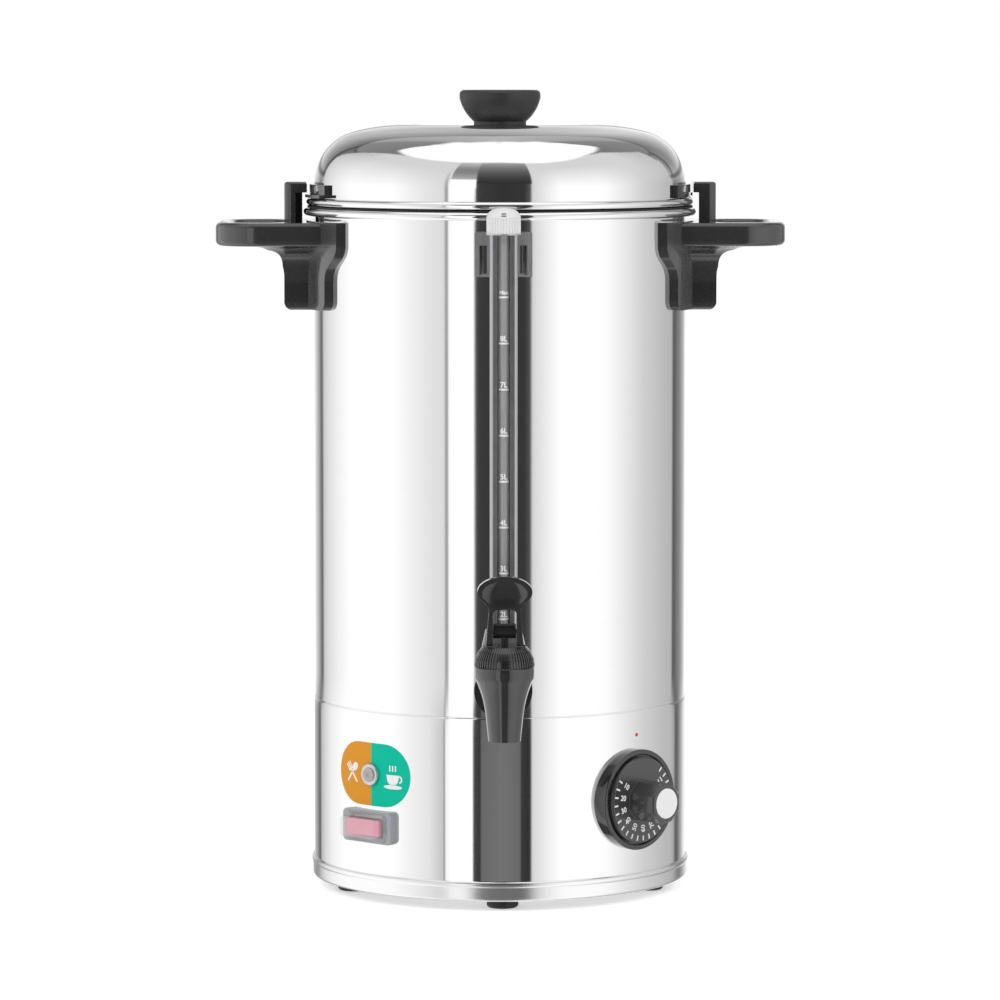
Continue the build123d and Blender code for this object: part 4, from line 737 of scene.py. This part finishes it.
ring_of_ribs = ring_tree("bonnet_ribs", tap_moulding)
print("ring tree has", len(ring_of_ribs.nodes), "nodes")

# %% [markdown]
# The bonnet screws on to the valve by hand, so its brow has fine ribs to grip. They come in three rings of
# bars, each with its own lean. A texture's bump would vanish at the edge, where real ribs show best.

# %% The bonnet and its fine ribs
bonnet_low, bonnet_top = low("tap_bonnet").z, high("tap_bonnet").z
bonnet_radius = high("tap_bonnet").x
bonnet_band = 2.4
bonnet_bore = 9.0
bonnet_roof = bonnet_top - 3.9
stem_hole = 2.7
brow = 15.3
brow_end = 47.0
rib_proud = 0.6
brow_centre = (bonnet_radius - rib_proud - brow, bonnet_low + bonnet_band)
bonnet_outline = [
    (bonnet_bore, bonnet_low),
    (bonnet_radius, bonnet_low),
    (bonnet_radius, bonnet_low + bonnet_band - rib_proud),
    (bonnet_radius - rib_proud, bonnet_low + bonnet_band),
    *arc(brow_centre, brow, 0, brow_end, 14)[1:],
    (11.9, bonnet_top),
    (stem_hole, bonnet_top),
    (stem_hole, bonnet_roof),
    (bonnet_bore, bonnet_roof),
    (bonnet_bore, bonnet_low),
]
rib_count = 60
rib_size = (0.8, 1.0)
rib_rows = 3
ribs = []
for i in range(rib_rows):
    lean = math.radians(brow_end * (i + 0.5) / rib_rows)
    row = grown(
        f"ribs_{i}",
        ring_of_ribs,
        Count=rib_count,
        Radius=(brow_centre[0] + brow * math.cos(lean)) * MM,
        First=0.0,
        Step=2 * math.pi / rib_count,
        Bar=[rib_size[0] * MM, rib_size[1] * MM, brow * math.radians(brow_end) / rib_rows * MM],
        Lean=lean,
        Rise=(brow_centre[1] + brow * math.sin(lean)) * MM,
    )
    ribs.append(row)
bonnet = gathered("bonnet", [spun("bonnet_shell", bonnet_outline, turns=96), *ribs])
bonnet.transform(Matrix.Translation((0, -valve_reach * MM, 0)))
piece_of("bonnet", bonnet, tap_moulding, stands_for=["tap_bonnet"])

# %% [markdown]
# The second tree is a ladder. It first bends a sliced bar round the tube's axis, and then repeats it upwards.

# %% Bars up a tube


def ladder_tree(name, material):
    """Short bars bent round an upright tube, one above the other."""
    group, add, calc, sizes, end = tree(name, ROW_SIZES, material)
    flat = add("GeometryNodeMeshCube", sizes["Bar"], 15, 2, 2)
    place = group.nodes.new("ShaderNodeSeparateXYZ")
    group.links.new(add("GeometryNodeInputPosition"), place.inputs[0])
    angle = calc("DIVIDE", place.outputs[0], sizes["Radius"])
    reach = calc("ADD", place.outputs[2], sizes["Radius"])
    across = calc("MULTIPLY", calc("SINE", angle), reach)
    front = calc("MULTIPLY", calc("MULTIPLY", calc("COSINE", angle), reach), -1.0)
    spot = add("ShaderNodeCombineXYZ", across, front, place.outputs[1])
    curved = add("GeometryNodeSetPosition", flat, None, spot)
    up = calc("MULTIPLY_ADD", add("GeometryNodeInputIndex"), sizes["Step"], sizes["First"])
    end(curved, add("GeometryNodePoints", sizes["Count"], add("ShaderNodeCombineXYZ", None, None, up)))
    return group


ladder = ladder_tree("litre_marks", white_print)
print("ladder tree has", len(ladder.nodes), "nodes")

# %% [markdown]
# ## Letters and signs
#
# A print is a skin of ink. A texture could carry it, but a very thin solid stays sharp at any distance.
# Letters start as text and become a mesh before they are placed.

# %% Letters and plates of ink
INK = 0.06


def lettered(words, size):
    """Thin letters about the origin, with x to the right and y up, as a mesh in millimetres."""
    curve = bpy.data.curves.new("letters", "FONT")
    curve.body, curve.size, curve.extrude = words, size, INK / 2
    curve.align_x, curve.align_y, curve.resolution_u = "CENTER", "CENTER", 3
    curve.offset = size * 0.035
    text = placed("letters", curve)
    mesh = baked(text)
    bpy.data.objects.remove(text)
    return mesh


def sheet(*outlines):
    """Thin plates with the given outlines, as a mesh in millimetres."""
    form = bmesh.new()
    for outline in outlines:
        closed(form, *[[form.verts.new((x, y, z)) for x, y in outline] for z in (-INK / 2, INK / 2)])
    bmesh.ops.recalc_face_normals(form, faces=form.faces)
    return poured(form, "sheet")


print("ink is", INK, "mm thick")

# %% [markdown]
# What lies on a round wall is first cut into narrow strips and then bent round it, or its flat faces would
# dip into the steel.

# %% How ink bends round a wall


def moved(mesh, x=0.0, y=0.0, turn=0.0):
    """The mesh after a turn and a step in its own plane."""
    mesh.transform(Matrix.Translation((x, y, 0)) @ Matrix.Rotation(math.radians(turn), 4, "Z"))
    return mesh


def bent(mesh, radius, azimuth, height, strip):
    """The mesh cut into upright strips and bent round a wall, in metres."""
    form = bmesh.new()
    form.from_mesh(mesh)
    count = int(max(abs(v.co.x) for v in form.verts) / strip)
    for i in range(-count, count + 1):
        whole = form.verts[:] + form.edges[:] + form.faces[:]
        bmesh.ops.bisect_plane(form, geom=whole, plane_co=(i * strip, 0, 0), plane_no=(1, 0, 0))
    for point in form.verts:
        x, y, z = point.co
        turn = math.radians(azimuth) + x / radius
        point.co = Vector((math.sin(turn) * (radius + z), -math.cos(turn) * (radius + z), height + y)) * MM
    form.to_mesh(mesh)
    form.free()
    return mesh


def oval(x, y, wide, tall, count=28):
    """An oval outline."""
    turns = [2 * math.pi * i / count for i in range(count)]
    return [(x + wide / 2 * math.cos(t), y + tall / 2 * math.sin(t)) for t in turns]


def bar(x, y, wide, tall):
    """An upright rectangle about a point."""
    return [(x + i * wide / 2, y + j * tall / 2) for i, j in ((-1, -1), (1, -1), (1, 1), (-1, 1))]


print("an oval has", len(oval(0, 0, 1, 1)), "corners")

# %% [markdown]
# ## Gauge marks
#
# A litre is 26.3 mm of the vessel's height, and the marks keep that step. The figures stand just above their
# marks. The lowest one is behind the lever, and shows through its fork and from the sides.

# %% Litre marks on the glass
litre = 26.3
gauge_zero = 120.2
marks = range(2, 10)
mark_radius = (high("gauge_tube").x - low("gauge_tube").x) / 2 + 0.08
mark_size = (6.0, 1.1, 2 * INK)
mark_strip = 0.4
figure_size = 4.3
figure_rise = 2.6
full_size = 0.72 * figure_size
strokes = grown(
    "litre_marks",
    ladder,
    Count=len(marks),
    Radius=mark_radius * MM,
    First=(gauge_zero + litre * marks[0]) * MM,
    Step=litre * MM,
    Bar=[side * MM for side in mark_size],
)
words = [lettered(f"{mark}L", figure_size) for mark in marks[:-1]] + [lettered("Max", full_size)]
figures = [
    bent(moved(word, y=figure_rise), mark_radius, 0, gauge_zero + litre * mark, mark_strip)
    for word, mark in zip(words, marks)
]
scale = gathered("gauge_scale", [strokes, *figures])
scale.transform(Matrix.Translation((0, -gauge_reach * MM, 0)))
piece_of("gauge_scale", scale, white_print)

# %% [markdown]
# The cap breathes through two short slots in its brow. They are not cut: two dark inlays paint the shade
# inside them, which is all that shows of them.

# %% Painted shade of the gauge cap's vent slots
cap_radius = (high("gauge_cap").x - low("gauge_cap").x) / 2
cap_dome = 6.0
slot_shades = []
for climb in (0.9, 2.1):
    reach = cap_radius * math.sqrt(1 - (climb / cap_dome) ** 2)
    height = high("gauge_cap").z - cap_dome + climb
    slot_shades.append(bent(sheet(bar(0, 0.3, 2.6, 0.6)), reach + INK, 0, height, mark_strip))
slot_shades = gathered("cap_vent_painted_shade", slot_shades)
slot_shades.transform(Matrix.Translation((0, -gauge_reach * MM, 0)))
# Dark inlays: painted shade where the vent slots are, since the slots are not cut
piece_of("cap_vent_painted_shade", slot_shades, dark_moulding)

# %% [markdown]
# ## Dial print
#
# White strokes every 12.5 degrees and a figure at every other one. They turn with the knob. The cap at its
# end is white, and a small red mark on the housing shows which figure is set.

# %% Dial strokes and figures
skirt_face = 7.0
dial_step = 12.5
dial_first = 56.0
stroke_count = 22
stroke_ring = 22.3
stroke_size = (1.0, 3.0, 2 * INK)
figure_ring = 16.6
dial_figure_size = 4.4
strokes = grown(
    "dial_strokes",
    ring_tree("dial_strokes", white_print),
    Count=stroke_count,
    Radius=stroke_ring * MM,
    First=-math.radians(dial_first),
    Step=-math.radians(dial_step),
    Bar=[side * MM for side in stroke_size],
)
figures = []
for i in range(stroke_count // 2):
    around = math.radians(dial_first + 2 * dial_step * i)
    spot = (-figure_ring * math.sin(around), figure_ring * math.cos(around))
    figure = moved(lettered(str(10 * (i + 1)), dial_figure_size), *spot, math.degrees(around) - 90)
    figure.transform(Matrix.Scale(MM, 4))
    figures.append(figure)
dial_print = gathered("dial_print", [strokes, *figures])
dial_print.transform(on_wall(*dial_place, housing_radius + skirt_face))
piece_of("dial_print", dial_print, white_print, body="dial")
dot = bent(sheet(oval(0, 0, 2.2, 2.2)), housing_radius + INK, *red_dot_place, 0.6)
piece_of("red_dot", dot, red_print)

# %% [markdown]
# ## Lamp label
#
# A two-tone plate lies round the lamp: orange for keeping warm, green for ready. Each half has its own ink.
# The two signs are plain shapes, crossed cutlery and a cup.

# %% Label
label_wide = 57.0
label_tall = 37.0
label_round = label_tall / 2
label_flat = label_wide / 2 - label_round


def half_label(side):
    """Half of a stadium, on one side of the lamp."""
    ends = arc((label_flat, 0), label_round, -90, 90, 24)
    return [(side * x, y) for x, y in [(0, -label_round), *ends, (0, label_round)]]


for name, side, paint, slot in (
    ("label_orange", -1, orange_print, "pink_moulding"),
    ("label_green", 1, green_print, "white_moulding"),
):
    half = bent(sheet(half_label(side)), housing_radius + INK, *lamp_place, 2.0)
    piece_of(name, half, paint)

# %% Signs on the label
sign_out = 16.3
cross = 38
cup = [
    [(-4.6, 0.8), (-3.6, -3.2), (-2.2, -4.8), (2.2, -4.8), (3.6, -3.2), (4.6, 0.8)],
    oval(0, -6.3, 13.0, 2.4),
    *[bar(x, 4.6, 0.8, 3.4) for x in (-2.0, 0.0, 2.0)],
    arc((4.4, -1.6), 2.3, -80, 80, 10) + arc((4.4, -1.6), 1.4, 80, -80, 10),
]
fork = [bar(0, -2.6, 1.2, 9.0), bar(0, 2.2, 3.8, 1.2), *[bar(x, 4.4, 0.8, 4.2) for x in (-1.5, 0.0, 1.5)]]
spoon = [bar(0, -2.6, 1.2, 9.0), oval(0, 4.2, 4.2, 5.6)]
signs = [
    moved(sheet(*cup), x=sign_out),
    moved(sheet(*fork), x=-sign_out, turn=cross),
    moved(sheet(*spoon), x=-sign_out, turn=-cross),
]
signs = bent(gathered("signs", signs), housing_radius + 2 * INK, *lamp_place, 1.0)
piece_of("label_signs", signs, white_print)

# %% [markdown]
# The lens has rings pressed into its face, to spread the light. It is spun again with a saw-tooth front.

# %% Ridged lamp lens
lens_radius = 4.2
lens_front = 3.4
lens_back = -4.0
ridges = 5
ridge_width = lens_radius / ridges
lens_outline = [(0, lens_back), (lens_radius, lens_back), (lens_radius, lens_front - 1.0)]
for i in reversed(range(ridges)):
    lens_outline.append((ridge_width * (i + 1) - 0.1, lens_front + 0.1 * (1 - i)))
    lens_outline.append((ridge_width * (i + 0.5), lens_front - 0.25))
lens_outline.append((0, lens_front + 0.2))
lens = spun("lamp_lens_ridged", lens_outline, turns=64)
lens.transform(on_wall(*lamp_place, housing_radius))
ridge_crease = math.radians(12)
piece_of("lamp_lens_ridged", lens, lamp_glass, stands_for=["lamp_lens"], crease=ridge_crease)

# %% [markdown]
# ## What keeps its CAD mesh
#
# Small and hidden pieces are right as they are, and only get their finish.

# %% Finishes of the remaining nodes
node_finish = {
    "plated_steel": plated_steel,
    "plain_steel": plated_steel,
    "spring_steel": plated_steel,
    "polished_steel": mirror_steel,
    "element_sheath": sheath_steel,
    "aluminium": cast_aluminium,
    "copper": drawn_copper,
    "contact_brass": nickel_brass,
    "black_moulding": black_moulding,
    "dark_moulding": dark_moulding,
    "grey_moulding": grey_moulding,
    "white_moulding": white_moulding,
    "pink_moulding": pink_moulding,
    "clear_cap": frosted_cap,
    "clear_boot": clear_boot,
    "clear_lens": lamp_glass,
    "silicone": black_rubber,
    "white_silicone": white_rubber,
    "foot_rubber": black_rubber,
    "gauge_glass": glass_painted_bright,
}
for node in nodes.values():
    slot_name = node.data.materials[0].name.split(".")[0]
    node.data.materials[0] = node_finish[slot_name]
print("finishes set on", len(nodes), "nodes")

# %% [markdown]
# ## The studio
#
# Polished steel shows nothing but what stands round it, so the studio is built as carefully as the urn. It is
# one great sphere that only glossy rays see: white screens at both sides, a dark gap at the front where the
# camera stands, a white ceiling, and a grey room behind. The stops are brightnesses or heights in degrees,
# listed by azimuth or by elevation seen from the urn.

# %% What stands round the urn, at the height of the wall and of the table
WHITE = 1.08
left_screen = [(-70, WHITE), (-61, 0.98), (-45, 0.83)]
right_screen = [(36, WHITE), (60, WHITE), (68, 1.04), (78, 0.91), (98, 0.67), (120, 0.53), (131, 0.49)]
wall_screens = [
    (-180, WHITE), (-166, 0.84), (-160, 0.65), (-153, 0.44), (-148, 0.22), (-144.5, 0.14), (-143, 0.32),
    (-141, 0.62), (-134, 0.76), (-120, 0.94), (-106, WHITE), *left_screen, (-35.3, 0.76), (-34, 0.38),
    (-33, 0.35), (-32, 1.02), (-30, WHITE), (-17, WHITE), (-16, 0.32), (-15, 0.07), (-13, 0.045), (0, 0.034),
    (14, 0.04), (17.2, 0.09), (18.2, 0.45), (18.8, 0.70), (24.6, 0.84), *right_screen, (134, 0.12),
    (137, 0.125), (141.5, 0.2), (146, 0.25), (151, 0.36), (157, 0.54), (165, 0.96), (180, WHITE),
]
table_screens = [
    (-180, WHITE), (-168, 0.57), (-158, 0.36), (-150.6, 0.14), (-148, 0.24), (-146, 0.53), (-138, 0.73),
    (-128, 0.94), (-113, WHITE), *left_screen, (-36, 0.60), (-35, 0.28), (-34, 0.97), (-31, WHITE),
    (-17.6, WHITE), (-17, 0.14), (-16.2, 0.058), (-13, 0.04), (-12, 0.15), (0, 0.18), (11, 0.15), (12, 0.045),
    (17, 0.03), (17.6, 0.12), (18.7, 0.72), (28, 0.93), *right_screen, (135, 0.40), (138, 0.135), (142, 0.14),
    (146, 0.28), (151.5, 0.49), (158, 0.82), (170, WHITE), (180, WHITE),
]
table_height = -10
print("stops:", len(wall_screens), "at the wall,", len(table_screens), "at the table")

# %% [markdown]
# Higher up, where the lid looks, the side screens end at a slanting edge, a card hangs beside the gap, and
# the room behind fades into its roof.

# %% What hangs above it
card = (-31.5, -15.5)
gap_end = 18.3
gap_foot = 7
screens_end = (-141, 132)
tall_screens = (-72, 81)
corners = ((-146, -141), (132, 136))
ceiling_edge = [
    (-180, 75), (-123, 65), (-111, 53), (-90, 51.5), (-33, 50), (0, 51.5), (34, 48), (55, 50), (80, 54),
    (121, 55.4), (131, 64), (180, 75),
]
left_top = [(-141, 20), (-137, 27), (-128, 35), (-121, 40), (-108, 47), (-96, 50), (-72, 52)]
right_top = [(81, 54), (101, 52), (107.5, 48.6), (127, 36), (129, 10), (132, -2)]
gap_climb = [
    (7, 0.034), (13, 0.040), (19, 0.058), (25, 0.088), (31, 0.117), (37, 0.17), (44, 0.26), (50, 0.40),
]
card_climb = [(14.5, WHITE), (16, 0.43), (23, 0.32), (30, 0.24), (36, 0.24), (42, 0.35), (48, 0.53)]
room_climb = [
    (3.4, 0.96), (4.2, 0.28), (6.4, 0.28), (7.2, 0.85), (11, 0.70), (17, 0.55), (25, 0.49), (33, 0.40),
    (46, 0.30), (60, 0.30),
]
room_fade = [
    (-180, 1.0), (-165, 1.0), (-155, 0.68), (-149, 0.5), (-140, 0.4), (144, 0.5), (152, 0.73), (159, 0.95),
    (166, 1.2), (172, 1.25), (180, 1.0),
]
line_height = [
    (-180, 50), (-167, 45.6), (-156, 40.7), (-146, 37), (-140, 34), (134, 30), (150, 38.9), (160.6, 40.8),
    (180, 50),
]
roof_grey = [(110, 0.2), (145, 0.26), (150, 0.38), (180, 0.5)]


def between(stops, x):
    """The value at x on the line through the stops."""
    for (a, value_a), (b, value_b) in zip(stops, stops[1:]):
        if x <= b:
            return value_a + (value_b - value_a) * max(0, x - a) / (b - a)
    return stops[-1][1]


def ramp(x, start, end):
    """From 0 at the start to 1 at the end."""
    return min(1, max(0, (x - start) / (end - start)))


print("the ceiling starts at", between(ceiling_edge, 0), "degrees over the gap")

# %% Brightness in any direction


def dome(azimuth, elevation):
    """Brightness of the studio above the lid's side, below its white ceiling."""
    wall = between(wall_screens, azimuth)
    if card[0] < azimuth < card[1]:
        return between(card_climb, elevation)
    if card[1] <= azimuth < gap_end:
        return max(between(gap_climb, elevation), wall if elevation < gap_foot else 0)
    top = between(left_top if azimuth < 0 else right_top, azimuth)
    if tall_screens[0] < azimuth < tall_screens[1]:
        top = max(top, between(ceiling_edge, azimuth))
    if screens_end[0] < azimuth < screens_end[1] and elevation < top:
        easing = ramp(elevation, 0, 38)
        soft = 0.70 - 0.25 * ramp(abs(azimuth), 100, 135) * ramp(elevation, 10, 40)
        return wall * (1 - easing) + soft * easing
    line = between(line_height, azimuth)
    if elevation > line or abs(azimuth) < 128:
        return between(roof_grey, abs(azimuth))
    near = ramp(elevation, -1.5, 6.5)
    level = wall * (1 - near) + between(room_climb, elevation) * between(room_fade, azimuth) * near
    if elevation > 6 and any(start < azimuth < end for start, end in corners):
        return level * 0.45
    return level * (0.62 if line - elevation < 1.6 else 1)


def brightness(azimuth, elevation):
    """Brightness of the studio in any direction."""
    if elevation > -1.5:
        ceiling = between(ceiling_edge, azimuth)
        above = ramp(elevation, ceiling - 0.8, ceiling + 0.8)
        return dome(azimuth, elevation) * (1 - above) + WHITE * above
    return between(wall_screens if elevation > table_height else table_screens, azimuth)


print("straight ahead", brightness(0, 0), "and at the right", round(brightness(50, 0), 2))

# %% [markdown]
# The sphere keeps the brightness in an attribute of its corners, and an emission reads it. Rows are a degree
# apart where the lid looks, and blurred a little, or slanting edges would show as steps.

# %% The sphere that carries it
STUDIO = 6.0
studio_centre = 0.42
row_blur = 0.6
made = bpy.data.materials.new("screen")
made.use_nodes = True
net = made.node_tree
net.nodes.remove(net.nodes["Principled BSDF"])
level = net.nodes.new("ShaderNodeAttribute")
level.attribute_name = "brightness"
glow = net.nodes.new("ShaderNodeEmission")
net.links.new(level.outputs["Fac"], glow.inputs["Strength"])
net.links.new(glow.outputs["Emission"], net.nodes["Material Output"].inputs["Surface"])

edges = [azimuth for azimuth, _ in wall_screens + table_screens] + [-31.6, -15.6, 18.2]
columns = sorted({*range(-180, 181, 2), *edges})
rows = [-90, -60, -40, -30, -20, -14, -10.3, -9.7, -5, -2, -1, *range(0, 67), 70, 75, 80, 90]
form = bmesh.new()
shade = form.verts.layers.float.new("brightness")
grid = []
for azimuth in columns:
    column = []
    for elevation in rows:
        turn, lift = math.radians(azimuth), math.radians(elevation)
        spot = Vector((math.sin(turn) * math.cos(lift), -math.cos(turn) * math.cos(lift), math.sin(lift)))
        point = form.verts.new(spot * STUDIO + Vector((0, 0, studio_centre)))
        blur = row_blur if 3 < elevation < 65 else 0
        point[shade] = sum(brightness(azimuth, elevation + step * blur) for step in (-1, 0, 1)) / 3
        column.append(point)
    grid.append(column)
for left, right in zip(grid, grid[1:]):
    for i in range(len(rows) - 1):
        form.faces.new([left[i], right[i], right[i + 1], left[i + 1]])
screen_mesh = poured(form, "studio_screens")
screen_mesh.materials.append(made)
screens = placed("studio_screens", screen_mesh)
screens.visible_camera = screens.visible_diffuse = screens.visible_transmission = False
screens.visible_volume_scatter = screens.visible_shadow = False
print("studio", len(screen_mesh.polygons), "faces")

# %% [markdown]
# The world is plain white for the camera and for reflections, and dimmer as a light, so that pale plastic
# keeps its shape. Two large soft lamps give it direction.

# %% World and lamps
world = bpy.data.worlds.new("studio")
bpy.context.scene.world = world
world.use_nodes = True
sky = world.node_tree
rays = sky.nodes.new("ShaderNodeLightPath").outputs
seen = rays["Is Camera Ray"]
for kind in ("Is Glossy Ray", "Is Transmission Ray"):
    either = sky.nodes.new("ShaderNodeMath")
    either.operation = "MAXIMUM"
    sky.links.new(seen, either.inputs[0])
    sky.links.new(rays[kind], either.inputs[1])
    seen = either.outputs["Value"]
level = sky.nodes.new("ShaderNodeMapRange")
level.inputs["To Min"].default_value = 0.62
level.inputs["To Max"].default_value = 1.0
sky.links.new(seen, level.inputs["Value"])
background = sky.nodes["Background"]
background.inputs["Color"].default_value = (1, 1, 1, 1)
sky.links.new(level.outputs["Result"], background.inputs["Strength"])


def soft_lamp(name, place, power):
    """A square area lamp that looks at the urn and shows in no reflection."""
    data = bpy.data.lights.new(name, "AREA")
    data.shape = "SQUARE"
    data.size = 1.2
    data.energy = power
    lamp = placed(name, data)
    lamp.location = place
    lamp.rotation_euler = (Vector((0, 0, 0.2)) - Vector(place)).to_track_quat("-Z", "Y").to_euler()
    lamp.visible_glossy = False
    lamp.visible_transmission = False


soft_lamp("lamp_left", (-1.6, -1.5, 1.9), 16)
soft_lamp("lamp_right", (1.7, -1.1, 1.7), 12)
print("lamps:", [lamp.name for lamp in bpy.data.lights])

# %% [markdown]
# The floor is white paper. It glows a little for the camera alone, and keeps the urn's shadow.

# %% Floor
floor_half = 9
floor_corners = [(x * floor_half, y * floor_half, 0) for x, y in ((-1, -1), (1, -1), (1, 1), (-1, 1))]
floor_mesh = bpy.data.meshes.new("floor")
floor_mesh.from_pydata(floor_corners, [], [(0, 1, 2, 3)])
floor = placed("floor", floor_mesh)
floor.visible_glossy = False
paper = bpy.data.materials.new("paper")
paper.use_nodes = True
net = paper.node_tree
white = net.nodes["Principled BSDF"]
white.inputs["Base Color"].default_value = (0.98, 0.98, 0.98, 1)
white.inputs["Roughness"].default_value = 1.0
white.inputs["Specular IOR Level"].default_value = 0.0
white.inputs["Emission Color"].default_value = (1, 1, 1, 1)
glow = net.nodes.new("ShaderNodeMath")
glow.operation = "MULTIPLY"
glow.inputs[1].default_value = 0.42
net.links.new(net.nodes.new("ShaderNodeLightPath").outputs["Is Camera Ray"], glow.inputs[0])
net.links.new(glow.outputs["Value"], white.inputs["Emission Strength"])
floor_mesh.materials.append(paper)
print("floor", 2 * floor_half, "m wide")

# %% [markdown]
# ## Camera
#
# A long lens far away keeps the upright lines nearly parallel. It looks down a little.

# %% Camera
camera_data = bpy.data.cameras.new("camera")
camera_data.lens = 181.11
camera_data.sensor_width = 36
camera_data.clip_start = 0.05
camera = placed("camera", camera_data)
side_step = math.radians(0.93)
camera_reach = 2.991
camera_height = 0.4898
aim = Vector((0, 0, 0.22983))
camera.location = (-math.sin(side_step) * camera_reach, -math.cos(side_step) * camera_reach, camera_height)
camera.rotation_euler = (aim - camera.location).to_track_quat("-Z", "Y").to_euler()
bpy.context.scene.camera = camera
bpy.context.scene.view_settings.view_transform = "Standard"
print("camera", round((aim - camera.location).length, 3), "m away")
